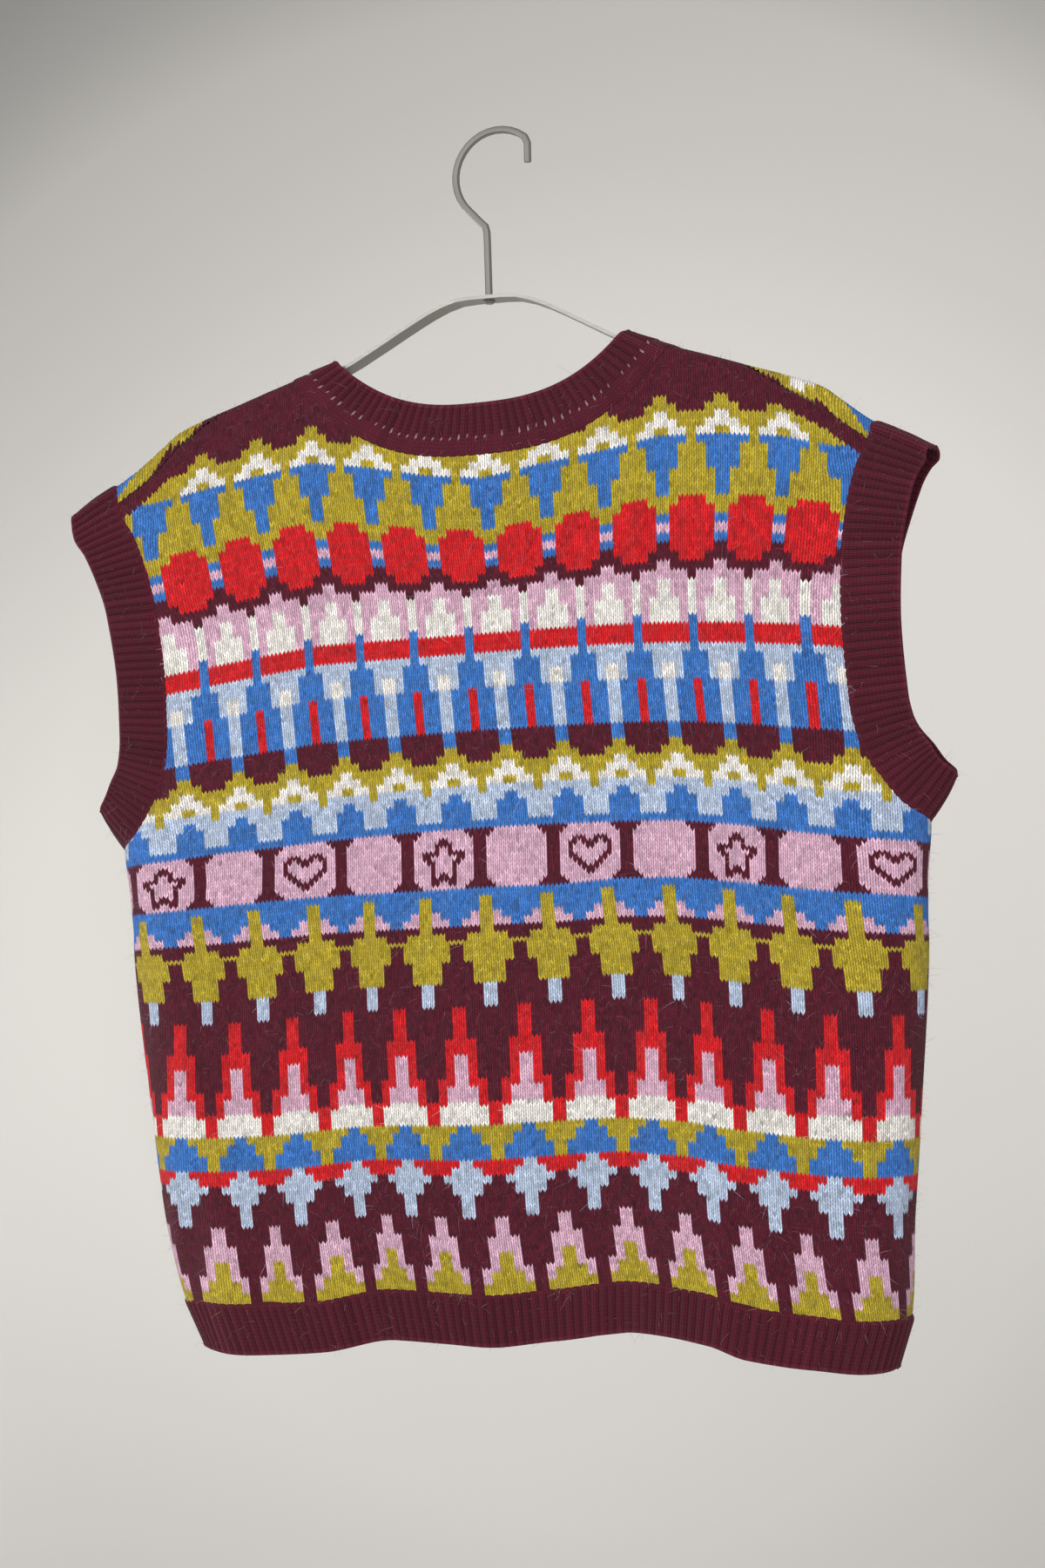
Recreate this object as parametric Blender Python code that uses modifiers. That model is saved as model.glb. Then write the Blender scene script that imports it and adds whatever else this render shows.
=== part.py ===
"""A knitted sweater vest on a flat metal hanger.

The vest hangs with its back to -Y, +X is to the right of someone who looks at that back, and +Z is up.
The origin is the inner top of the hook, where it hangs. The cloth has its own frame, turned a little
about the neck because the vest hangs askew: `across` runs to the right along a row of stitches, round the
sides to the side seams, and `height` runs up the rows from the level of the neck points.
"""

import math

import bmesh
import bpy
import numpy as np

MM = 0.001

# How the vest hangs
NECK_PLACE = (-5.0 * MM, -137.0 * MM)  # x and z of the middle of the neck
TILT = 0.045  # the right side hangs higher
SHOULDER_SLIP = -10.0 * MM  # the shoulder ends have slid to the left on the hanger
SHOULDER_END = 283.0 * MM
HEM_SLIP = 6.0 * MM  # the hem swings this far to the right
HEM_SLIP_FROM = -520.0 * MM
FRONT_SLIP = -7.0 * MM  # the front lies this far to the left of the back at mid armhole
SLIP_FROM = -90.0 * MM  # above this height the shoulders slip whole, and the front doesn't slip at all

# Cloth
HALF_WALL = 1.2 * MM
RIB_HALF_WALL = 1.0 * MM
RIB_RELIEF = 1.6 * MM
SEAM_GAP = 0.3 * MM
RIB_PITCH = 5.4 * MM

# Garment sizes
UNDERARM = -295.5 * MM  # heights in the cloth's own frame
HEM_SEAM = -585.0 * MM
HEM_EDGE = -615.0 * MM
NECK_SEAM_HALF_WIDTH = 126.0 * MM
NECK_EDGE_HALF_WIDTH = 98.5 * MM
NECK_SEAM_DROP = {-1: 60.0 * MM, 1: 105.0 * MM}  # back and front
NECK_EDGE_DROP = {-1: 30.0 * MM, 1: 75.0 * MM}
NECK_CURVE = {-1: 2.7, 1: 2.9}
SHOULDER_SEAM_SET_BACK = 10.0 * MM  # the seam lies this far down the back at the shoulder's end

# The cloth where it passes over the bar: half its depth, and how far down it has reached that depth
TOP_HALF_DEPTH = 11.2 * MM
TOP_DROP = 8.5 * MM
TOP_SQUARENESS = 0.5
TOP_ABOVE_BAR = 3.2 * MM

# Hanger
HANGER_X = -1.5 * MM
HANGER_TILT = 0.014
BAR_TOP = -100.2 * MM
BAR_HALF_SPAN = 196.0 * MM
BAR_HALF_WIDTH = 7.5 * MM
BAR_THICKNESS = 2.2 * MM
BAR_EDGE_ROUND = 0.7 * MM
BAR_STEP = 10.0 * MM
WIRE_RADIUS = 2.25 * MM
HOOK_CENTRE = (4.5 * MM, -25.4 * MM)
HOOK_RADIUS = 28.0 * MM  # to the middle of the wire
HOOK_FROM, HOOK_TO = 53.0, 228.0  # degrees round the hook, from its free end
HOOK_POINTS = 18
HOOK_END = (23.5 * MM, -18.9 * MM)
HOOK_END_BEND = ((22.2 * MM, -4.6 * MM), (23.3 * MM, -7.2 * MM))
STEM_BEND = (
    (-7.0 * MM, -53.6 * MM),
    (-4.0 * MM, -56.2 * MM),
    (-3.0 * MM, -60.0 * MM),
    (-2.7 * MM, -66.0 * MM),
)
STEM_HOLE_RADIUS = 2.55 * MM
PEENED_HEAD = (4.0 * MM, 1.6 * MM)  # radius and thickness
PEENED_FACE_SHARE = 0.6  # its lower face, as a share of its radius

# The net of half a panel: its columns across, of which the first go to the neckline, the next to places on
# the neckline that lie this far under the ridge, and the others to these places on the shoulder, and its rows
# as shares of the way up, close together over the ridge
NECK_COLUMNS = 4
NECK_UNDER_RIDGE = tuple(drop * MM for drop in (17.5, 14, 10.8, 8, 5.3, 2.7, 0))
SHOULDER_COLUMNS = tuple(out * MM for out in (150, 176, 202, 227, 251))
UNDERARM_ROW = 8
UNDERARM_SHARE = 0.55
ROWS_UNDER_RIDGE = (
    *(0.556, 0.563, 0.572, 0.585, 0.603, 0.63, 0.665),
    *(0.705, 0.75, 0.795, 0.84, 0.88, 0.912, 0.935),
)
RIDGE_ROWS = 10
RIDGE_FROM = 0.953
NORMAL_STEP = 0.1 * MM


def table(columns, *rows):
    """Named columns of a short table whose rows are in millimetres, in rising order of its first column."""
    values = np.array(sorted(rows), float)
    names = columns.split()
    return {name: values[:, i] * (1 if name.endswith("share") else MM) for i, name in enumerate(names)}


# Level by level: half the width between the side seams, half the depth from front to back, the run over
# which a side rounds away, and the share of the depth that stays open at the side.
BODY = table(
    "height half_width half_depth round_run open_share",
    (40, 262, 11, 40, 0.3),
    (-80, 262, 11, 40, 0.3),
    (-100, 249, 11, 40, 0.3),
    (-118, 240, 11, 40, 0.3),
    (-142, 234, 11.2, 40, 0.3),
    (-186, 231.5, 12, 40, 0.3),
    (-226, 233, 14, 40, 0.28),
    (-249, 237, 15.5, 41, 0.2),
    (-268, 246, 17, 42, 0.1),
    (-286, 257, 18.5, 43, 0.02),
    (-295.5, 260, 19, 43, 0),
    (-332, 256.5, 22, 44, 0),
    (-366, 255.5, 24, 45, 0),
    (-457, 247.5, 29, 47, 0),
    (-524, 240.5, 32, 48, 0),
    (-560, 236, 33, 48, 0),
    (-585, 231, 33.5, 48, 0),
    (-615, 219.5, 33, 47, 0),
)

# The seam round an armhole, below the ridge of the shoulder
ARMHOLE = (
    (250, -71),
    (243, -80),
    (235, -95),
    (229.5, -113),
    (224, -142),
    (221, -186),
    (222, -226),
    (226, -249),
    (236, -268),
    (250, -286),
)

# Which way the armhole band stands out of its seam, from the shoulder (0) to the underarm (1), how much
# wider its edge opens from front to back than its seam does, and its width
ARMBAND = table(
    "way_share out_share up_share opening_share width",
    (0, 0.86, -0.51, 0.25, 35),
    (0.15, 0.96, -0.28, 0.22, 35),
    (0.35, 1.0, -0.02, 0.05, 34),
    (0.6, 1.0, 0.05, 0, 33),
    (0.8, 0.92, 0.39, -0.05, 33),
    (0.92, 0.68, 0.73, -0.1, 31.5),
    (1, 0.5, 0.87, -0.1, 30),
)

# The top of the bar, out from its middle, and the cloth's ridge beyond the bar's ends
BAR = table(
    "out drop",
    (0, 0),
    (15, 0),
    (25, -2),
    (35, -5.6),
    (50, -13),
    (75, -26.5),
    (99, -38.5),
    (118, -44.5),
    (142, -52),
    (166, -60),
    (192, -68.5),
    (208, -75),
)
RIDGE_PAST_BAR = table(
    "out drop", (192, -68.5), (208, -75), (218, -82.5), (236, -96), (256, -107.5), (273, -114.5), (300, -130)
)

# The hem rises in the middle of the back; the front does so by half as much
HEM_LIFT = table(
    "across lift",
    (-260, 0),
    (-190, 2),
    (-127, 6),
    (-81, 14),
    (-20, 11),
    (20, 15),
    (74, 22),
    (117, 19),
    (140, 12),
    (190, 5),
    (260, 0),
)
FRONT_LIFT_SHARE = 0.5
HEM_LIFT_FROM = -400.0 * MM

# Soft folds, by the place across at the hem, how far that place leans over 100 mm of height, how far the
# cloth stands out (in if negative), half its width, and the height where it fades out
FOLDS = {
    -1: (
        (25, 0, -15, 95, -330),
        (128, -2, 6, 26, -360),
        (-93, 3, -3, 20, -420),
        (-212, 2, -5, 15, -430),
        (-20, 1, 3, 16, -520),
        (60, 2, -3, 18, -480),
        (185, -3, -4, 16, -420),
    ),
    1: (
        (-15, 0, -12, 90, -350),
        (-120, 2, 5, 26, -380),
        (105, -3, 4, 22, -420),
        (200, -2, -4, 16, -440),
        (30, 1, -3, 18, -500),
        (-190, 3, -4, 16, -430),
    ),
}


def smooth(value, places, heights):
    """Reads a table along a curve that bends evenly through its rows and never overshoots them."""
    secants = np.diff(heights) / np.diff(places)
    before, after = secants[:-1], secants[1:]
    same = before * after > 0
    inner = np.where(same, 2 * before * after / np.where(same, before + after, 1), 0)
    slopes = np.concatenate([secants[:1], inner, secants[-1:]])
    row = np.clip(np.searchsorted(places, value) - 1, 0, len(places) - 2)
    gap = places[row + 1] - places[row]
    t = np.clip((value - places[row]) / gap, 0, 1)
    rise = heights[row + 1] - heights[row]
    a, b = slopes[row] * gap, slopes[row + 1] * gap
    return heights[row] + t * (a + t * (3 * rise - 2 * a - b + t * (a + b - 2 * rise)))


def ease(share):
    """Rises evenly from 0 to 1."""
    share = np.clip(share, 0, 1)
    return share * share * (3 - 2 * share)


def unit(vectors):
    return vectors / np.linalg.norm(vectors, axis=-1, keepdims=True)


def bar_top(x):
    """The height of the bar's top at a place along it."""
    out = np.abs(x - HANGER_X)
    return BAR_TOP + smooth(out, BAR["out"], BAR["drop"]) + HANGER_TILT * (x - HANGER_X)


def ridge_height(x):
    """The height of the cloth's middle along the ridge of the shoulders."""
    out = np.abs(x - HANGER_X)
    past = smooth(out, RIDGE_PAST_BAR["out"], RIDGE_PAST_BAR["drop"])
    beyond = BAR_TOP + past + HANGER_TILT * (x - HANGER_X)
    return np.where(out > BAR_HALF_SPAN, beyond, bar_top(x)) + TOP_ABOVE_BAR


def ridge_profile():
    """Distance along the cloth from the ridge, half depth and drop, down one side of the bar."""
    turn = np.linspace(0, math.pi / 2, 200)
    depth = TOP_HALF_DEPTH * np.sin(turn) ** TOP_SQUARENESS
    drop = TOP_DROP * (1 - np.cos(turn) ** TOP_SQUARENESS)
    steps = np.hypot(np.diff(depth), np.diff(drop))
    return np.concatenate([[0], np.cumsum(steps)]), depth, drop


RIDGE_ARC, RIDGE_DEPTH, RIDGE_DROP = ridge_profile()


def over_ridge(down):
    """Half depth, as a share of the depth under the bar, and drop from the ridge."""
    depth = np.interp(down, RIDGE_ARC, RIDGE_DEPTH)
    drop = np.interp(down, RIDGE_ARC, RIDGE_DROP) + np.maximum(down - RIDGE_ARC[-1], 0)
    return depth / TOP_HALF_DEPTH, drop


def body(height, column):
    return smooth(height, BODY["height"], BODY[column])


def round_arc(height):
    """How much cloth one rounded side takes, from where it leaves the flat to the side seam."""
    run, depth = body(height, "round_run"), body(height, "half_depth")
    return math.pi / 2 * np.sqrt((run**2 + depth**2) / 2)


def across_of(out, height):
    """The place across of a point that lies `out` from the centre line, as the body is seen."""
    width, run = body(height, "half_width"), body(height, "round_run")
    turn = np.arcsin(np.clip((out - (width - run)) / run, 0, 1))
    return np.minimum(out, width - run) + turn / (math.pi / 2) * round_arc(height)


def side_seam(height):
    return body(height, "half_width") - body(height, "round_run") + round_arc(height)


def folds(side, out, height):
    """How far the folds move the cloth away from the middle plane."""
    moved = np.zeros_like(out)
    for place, lean, depth, half_width, top in FOLDS[side]:
        middle = place * MM + lean / 100 * (height - HEM_EDGE)
        spread = np.exp(-(((out - middle) / (half_width * MM)) ** 2))
        moved += depth * MM * spread * ease((top * MM - height) / (top * MM - HEM_EDGE))
    return moved


def placed(out, height):
    """World x and z of a place in the cloth's own frame, before the cloth turns over the ridge."""
    slipped = ease((height - UNDERARM) / (SLIP_FROM - UNDERARM))
    slip = SHOULDER_SLIP * (out / SHOULDER_END) ** 2 * slipped
    slip = slip + HEM_SLIP * ease((HEM_SLIP_FROM - height) / (HEM_SLIP_FROM - HEM_EDGE))
    x = NECK_PLACE[0] + out * math.cos(TILT) - height * math.sin(TILT) + slip
    return x, NECK_PLACE[1] + height * math.cos(TILT) + out * math.sin(TILT)


def down_from_ridge(out, height):
    x, level = placed(out, height)
    return ridge_height(x) + RIDGE_ARC[-1] - TOP_DROP - level


def ridge_at(out):
    """The height, in the cloth's own frame, at which the cloth reaches the ridge of the shoulders."""
    height = np.zeros_like(np.asarray(out, float))
    for _ in range(8):
        height = height + down_from_ridge(out, height)
    return height


def surface(side, across, height):
    """Points of the middle of the cloth. The side is -1 for the back and 1 for the front; cloth that goes
    higher than the ridge comes down on the other side."""
    across, height = np.broadcast_arrays(np.asarray(across, float), np.asarray(height, float))
    width, run = body(height, "half_width"), body(height, "round_run")
    turn = np.maximum((np.abs(across) - (width - run)) / round_arc(height), 0) * math.pi / 2
    out = np.sign(across) * (np.minimum(np.abs(across), width - run) + run * np.sin(turn))
    open_share = body(height, "open_share")
    rounding = open_share + (1 - open_share) * np.cos(turn)

    over = height - ridge_at(out)
    height = height - 2 * np.maximum(over, 0)
    facing = np.where(over > 0, -side, side)

    x, level = placed(out, height)
    if side == 1:
        x = x + FRONT_SLIP * np.sin(np.pi * np.clip((height - SLIP_FROM) / (UNDERARM - SLIP_FROM), 0, 1)) ** 2
    lift = smooth(out, HEM_LIFT["across"], HEM_LIFT["lift"]) * (1 if side == -1 else FRONT_LIFT_SHARE)
    level = level + lift * ease((HEM_LIFT_FROM - height) / (HEM_LIFT_FROM - HEM_EDGE))
    ridge = ridge_height(x)
    share, drop = over_ridge(ridge + RIDGE_ARC[-1] - TOP_DROP - level)
    depth = body(height, "half_depth") * rounding * share + folds(side, out, height) * np.cos(turn)
    return np.stack([x, facing * depth, ridge - drop], -1)


def surface_normal(side, across, height):
    """Directions out of the cloth, at the same places."""
    rightwards = surface(side, across + NORMAL_STEP, height) - surface(side, across - NORMAL_STEP, height)
    upwards = surface(side, across, height + NORMAL_STEP) - surface(side, across, height - NORMAL_STEP)
    return unit(np.cross(rightwards, upwards)) * -side


def along(points, shares):
    """Points at equal shares of the length of a line through the given ones, whatever their number of
    coordinates, bending evenly where the line does."""
    points = np.asarray(points, float)
    length = np.concatenate([[0], np.cumsum(np.linalg.norm(np.diff(points, axis=0), axis=1))])
    at = np.asarray(shares) * length[-1]
    return np.stack([smooth(at, length, points[:, i]) for i in range(points.shape[1])], -1)


def neck_curve(side, hand, share, half_width, drop):
    """A neckline on one side of the centre line: across and height, from the centre line to the ridge."""
    top = ridge_at(hand * half_width)
    height = -drop + (top + drop) * share ** NECK_CURVE[side]
    return np.stack([hand * half_width * share, height], -1)


def neck_columns(side, hand):
    """A panel's neckline, from the centre line to just under the ridge."""
    half_gap = SEAM_GAP / 2
    height = ridge_at(hand * NECK_SEAM_HALF_WIDTH) + NECK_SEAM_DROP[side]
    near = (1 - np.array(NECK_UNDER_RIDGE) / height) ** (1 / NECK_CURVE[side])
    share = np.concatenate([np.linspace(0, near[0], NECK_COLUMNS + 1)[:-1], near])
    line = neck_curve(side, hand, share, NECK_SEAM_HALF_WIDTH + half_gap, NECK_SEAM_DROP[side] + half_gap)
    line[:, 1] -= half_gap * share
    return line


def panel_rows():
    below = np.linspace(0, UNDERARM_SHARE, UNDERARM_ROW + 1)
    return np.concatenate([below, ROWS_UNDER_RIDGE, np.linspace(RIDGE_FROM, 1, RIDGE_ROWS)])


def panel_outline(side, hand):
    """The four edges of half a panel: rows of (across, height) for its hem, top, centre line and side."""
    half_gap = SEAM_GAP / 2
    rows = panel_rows()
    neck = neck_columns(side, hand)
    count = len(neck) - 1 + len(SHOULDER_COLUMNS)
    hem = HEM_SEAM + half_gap
    reach = side_seam(hem) - half_gap
    bottom = np.stack([hand * np.linspace(0, reach, count + 1), np.full(count + 1, hem)], -1)

    out = np.array(SHOULDER_COLUMNS)
    set_back = ease(1.5 * (out - NECK_SEAM_HALF_WIDTH) / (SHOULDER_COLUMNS[-1] - NECK_SEAM_HALF_WIDTH))
    seam = ridge_at(hand * out) + side * SHOULDER_SEAM_SET_BACK * set_back - half_gap
    top = np.concatenate([neck, np.stack([hand * across_of(out, seam), seam], -1)])

    centre = np.stack([np.zeros_like(rows), hem + rows * (neck[0, 1] - hem)], -1)

    side_heights = np.linspace(hem, UNDERARM, UNDERARM_ROW + 1)
    seam_edge = np.stack([side_seam(side_heights) - half_gap, side_heights], -1)
    armhole = np.array([place for place in ARMHOLE[::-1] if place[1] * MM < seam[-1] - 5 * MM]) * MM
    armhole[:, 0] = across_of(armhole[:, 0], armhole[:, 1])
    armhole = np.concatenate([seam_edge[-1:], armhole, top[-1:] * (hand, 1)])
    above = (rows[UNDERARM_ROW + 1 :] - UNDERARM_SHARE) / (1 - UNDERARM_SHARE)
    edge = np.concatenate([seam_edge, along(armhole, above)]) * (hand, 1)
    return bottom, top, centre, edge


def half_panel(side, hand):
    """A net of (across, height) stretched between the four edges of half a panel."""
    bottom, top, centre, edge = panel_outline(side, hand)
    s = np.linspace(0, 1, len(bottom))[None, :, None]
    t = panel_rows()[:, None, None] ** 3  # the top edge shapes only the rows near it
    between = (1 - t) * bottom[None] + t * top[None] + (1 - s) * centre[:, None] + s * edge[:, None]
    corners = (1 - s) * ((1 - t) * bottom[0] + t * top[0]) + s * ((1 - t) * bottom[-1] + t * top[-1])
    return between - corners


def panel_net(side):
    """The middle of a whole panel and its outward directions, row by row from the hem up."""
    left, right = half_panel(side, -1), half_panel(side, 1)
    net = np.concatenate([left[:, :0:-1], right], axis=1)
    return surface(side, net[..., 0], net[..., 1]), surface_normal(side, net[..., 0], net[..., 1])


def new_object(name, mesh, material):
    mesh.materials.append(material)
    made = bpy.data.objects.new(name, mesh)
    PART.objects.link(made)
    return made


def wall(name, outer, inner, closed, material):
    """A closed wall between two nets of points with the same rows and columns. It is lofted by hand,
    because its two faces differ: ribs stand on the outer one and the inner one is plain."""
    count_rows, count = outer.shape[:2]
    bm = bmesh.new()
    nets = [[[bm.verts.new(point) for point in row] for row in net] for net in (outer, inner)]
    last = count if closed else count - 1

    def skin(net, flip):
        for r in range(count_rows - 1):
            for c in range(last):
                n = (c + 1) % count
                corners = [net[r][c], net[r][n], net[r + 1][n], net[r + 1][c]]
                bm.faces.new(corners[::-1] if flip else corners)

    def rim(near, far):
        for (a, b), (c, d) in zip(zip(near, near[1:]), zip(far, far[1:])):
            bm.faces.new((a, b, d, c))

    skin(nets[0], False)
    skin(nets[1], True)
    for row in (0, -1):
        near, far = list(nets[0][row]), list(nets[1][row])
        if closed:
            near.append(near[0])
            far.append(far[0])
        rim(near, far)
    if not closed:
        for column in (0, -1):
            rim([row[column] for row in nets[0]], [row[column] for row in nets[1]])
    bmesh.ops.recalc_face_normals(bm, faces=bm.faces)
    mesh = bpy.data.meshes.new(name)
    bm.to_mesh(mesh)
    bm.free()
    mesh.shade_smooth()
    mesh.set_sharp_from_angle(angle=math.radians(50))
    return new_object(name, mesh, material)


def panel(name, side, material):
    middle, out = panel_net(side)
    wall(name, middle + out * HALF_WALL, middle - out * HALF_WALL, False, material)
    return middle, out


def length_of(points):
    return np.linalg.norm(np.diff(points, axis=0), axis=1).sum()


def divided(line, step):
    """Points about a step apart on the straight runs of a line, which keep its own points and directions."""
    points, directions = line
    runs = np.linalg.norm(np.diff(points, axis=0), axis=1)
    parts = np.maximum(1, np.round(runs / step)).astype(int)
    at = np.concatenate([row + np.arange(count) / count for row, count in enumerate(parts)] + [[len(parts)]])
    rows = np.arange(len(points))
    return [np.stack([np.interp(at, rows, v[:, i]) for i in range(3)], -1) for v in (points, directions)]


def spread_evenly(line, count):
    """So many points at equal distances on a line, with the directions between its own."""
    points, directions = line
    length = np.concatenate([[0], np.cumsum(np.linalg.norm(np.diff(points, axis=0), axis=1))])
    at = np.linspace(0, length[-1], count)
    return [np.stack([np.interp(at, length, v[:, i]) for i in range(3)], -1) for v in (points, directions)]


def ring(first, second):
    """A closed loop of two lines, each of which starts where the other ends."""
    return [np.concatenate([first[i][:-1], second[i][:-1]]) for i in (0, 1)]


def beside(seam, seam_out, edge, closed):
    """The points of a seam, moved over the gap in the plane of the cloth, towards the edge of its band."""
    padded = np.concatenate([seam[-1:], seam, seam[:1]]) if closed else seam
    run = np.gradient(padded, axis=0)
    way = unit(np.cross(run[1:-1] if closed else run, seam_out))
    return seam + way * np.sign((way * (edge - seam)).sum(axis=1, keepdims=True)) * SEAM_GAP


def ribbed_wall(name, rows, directions, closed, material):
    """A band whose outer points rise and fall from rib to rib over a plain inside."""
    rows, directions = np.stack(rows), np.stack(directions)
    crest = np.where(np.arange(rows.shape[1]) % 2 == 1, RIB_RELIEF, 0.0)[None, :, None]
    outer = rows + directions * (RIB_HALF_WALL + crest)
    wall(name, outer, rows - directions * RIB_HALF_WALL, closed, material)


def neck_edge(side, hands):
    """The neck opening of one side, from the ridge on one hand to the ridge on the other."""
    down, up = np.linspace(1, 0, 40), np.linspace(0, 1, 40)[1:]
    size = NECK_EDGE_HALF_WIDTH, NECK_EDGE_DROP[side]
    line = np.concatenate([neck_curve(side, hand, share, *size) for hand, share in zip(hands, (down, up))])
    return surface(side, *line.T), surface_normal(side, *line.T)


def neckband(back, front, material):
    """A ring from the panels' necklines to the neck opening, over the bar at both shoulders."""
    columns = slice(len(SHOULDER_COLUMNS), -len(SHOULDER_COLUMNS))
    seams = [net[-1, columns] for net in back], [net[-1, columns][::-1] for net in front]
    edges = neck_edge(-1, (-1, 1)), neck_edge(1, (1, -1))
    seam_length = sum(length_of(line[0]) for line in seams)
    edge_length = sum(length_of(line[0]) for line in edges)
    step = RIB_PITCH * seam_length / (seam_length + edge_length)
    seams = [divided(line, step) for line in seams]
    edges = [spread_evenly(line, len(seam[0])) for line, seam in zip(edges, seams)]
    (seam, seam_out), (edge, edge_out) = ring(*seams), ring(*edges)
    near = beside(seam, seam_out, edge, True)
    ribbed_wall("neckband", (near, edge), (seam_out, edge_out), True, material)


def armband(name, hand, back, front, material):
    """A ring from an armhole's seam to its edge, which stands out at the shoulder and up at the underarm."""
    last = -1 if hand == 1 else 0
    back_seam = divided([net[UNDERARM_ROW:, last][::-1] for net in back], RIB_PITCH / 2)
    front_seam = divided([net[UNDERARM_ROW:, last] for net in front], RIB_PITCH / 2)
    seam, seam_out = ring(back_seam, front_seam)
    count, top, underarm = len(seam), int(np.argmax(seam[:, 2])), len(back_seam[0]) - 1
    way = np.interp((np.arange(count) - top) % count, (0, (underarm - top) % count, count), (0, 1, 0))
    read = {column: smooth(way, ARMBAND["way_share"], ARMBAND[column])[:, None] for column in ARMBAND}
    outwards = np.array((hand * math.cos(TILT), 0, hand * math.sin(TILT)))
    upwards = np.array((-math.sin(TILT), 0, math.cos(TILT)))
    edge = seam + unit(read["out_share"] * outwards + read["up_share"] * upwards) * read["width"]
    edge[:, 1] *= 1 + read["opening_share"][:, 0]
    near = beside(seam, seam_out, edge, True)
    edge_out = unit(np.cross(np.roll(edge, -1, axis=0) - np.roll(edge, 1, axis=0), edge - seam))
    edge_out *= np.sign((edge_out * seam_out).sum(axis=1, keepdims=True))
    ribbed_wall(name, (near, edge), (seam_out, edge_out), True, material)


def hem_rib(name, side, net, material):
    """The ribbed strip under a panel, from side seam to side seam."""
    seam, seam_out = divided((net[0][0], net[1][0]), RIB_PITCH / 2)
    reach = side_seam(HEM_EDGE) - SEAM_GAP / 2
    across = np.linspace(-reach, reach, len(seam))
    edge = surface(side, across, HEM_EDGE)
    near = beside(seam, seam_out, edge, False)
    ribbed_wall(name, (near, edge), (seam_out, surface_normal(side, across, HEM_EDGE)), False, material)


def as_mesh(curve, name, material):
    """A curve object made a mesh, with its caps joined to its sides."""
    bpy.context.view_layer.update()
    evaluated = curve.evaluated_get(bpy.context.evaluated_depsgraph_get())
    mesh = bpy.data.meshes.new_from_object(evaluated)
    mesh.name = name
    bm = bmesh.new()
    bm.from_mesh(mesh)
    bmesh.ops.remove_doubles(bm, verts=bm.verts, dist=1e-6)
    bm.to_mesh(mesh)
    bm.free()
    mesh.shade_smooth()
    mesh.set_sharp_from_angle(angle=math.radians(40))
    made = new_object(name, mesh, material)
    made.matrix_world = curve.matrix_world
    bpy.data.objects.remove(curve)
    return made


def helper(made, collection):
    """Marks an object as a tool for a cut or a join, which is no piece of the vest."""
    for other in list(made.users_collection):
        other.objects.unlink(made)
    collection.objects.link(made)
    made.hide_render = True
    made.display_type = "WIRE"
    return made


def join_or_cut(target, tool, operation):
    modifier = target.modifiers.new(tool.name, "BOOLEAN")
    modifier.operation = operation
    modifier.solver = "EXACT"
    modifier.object = tool


def hanger_bar(material):
    """A flat strip, bent to the shoulders: its side view, drawn as an outline and extruded to its width."""
    out = np.linspace(-BAR_HALF_SPAN, BAR_HALF_SPAN, 2 * round(BAR_HALF_SPAN / BAR_STEP) + 1)
    top = np.stack([out, smooth(np.abs(out), BAR["out"], BAR["drop"])], -1)
    run = unit(np.gradient(top, axis=0))
    below = top + np.stack([run[:, 1], -run[:, 0]], -1) * BAR_THICKNESS
    outline = np.concatenate([top, below[::-1]])
    curve = bpy.data.curves.new("bar_outline", "CURVE")
    curve.dimensions = "2D"
    curve.fill_mode = "BOTH"
    curve.extrude = BAR_HALF_WIDTH
    spline = curve.splines.new("POLY")
    spline.points.add(len(outline) - 1)
    spline.use_cyclic_u = True
    for point, (x, y) in zip(spline.points, outline):
        point.co = (x, y, 0, 1)
    drawn = bpy.data.objects.new("bar_outline", curve)
    PART.objects.link(drawn)
    drawn.location = (HANGER_X, 0, BAR_TOP)
    drawn.rotation_euler = (math.pi / 2, -HANGER_TILT, 0)
    bar = as_mesh(drawn, "hanger_bar", material)
    bevel = bar.modifiers.new("rounded edges", "BEVEL")
    bevel.width = BAR_EDGE_ROUND
    bevel.segments = 1
    bevel.limit_method = "ANGLE"
    bevel.angle_limit = math.radians(60)
    bpy.ops.mesh.primitive_cylinder_add(
        vertices=24, radius=STEM_HOLE_RADIUS, depth=BAR_HALF_WIDTH, location=(HANGER_X, 0, BAR_TOP)
    )
    hole = bpy.context.object
    hole.name = "stem_hole"
    join_or_cut(bar, helper(hole, TOOLS), "DIFFERENCE")


def hook_route():
    """The wire's middle in x and z, from its free end, round the hook and down the stem."""
    turns = np.radians(np.linspace(HOOK_FROM, HOOK_TO, HOOK_POINTS))
    x, z = HOOK_CENTRE
    hook = [(x + HOOK_RADIUS * math.cos(turn), z + HOOK_RADIUS * math.sin(turn)) for turn in turns]
    foot = (HANGER_X, BAR_TOP - BAR_THICKNESS - SEAM_GAP - PEENED_HEAD[1] / 2)
    return [HOOK_END, *reversed(HOOK_END_BEND), *hook, *STEM_BEND, foot]


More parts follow.
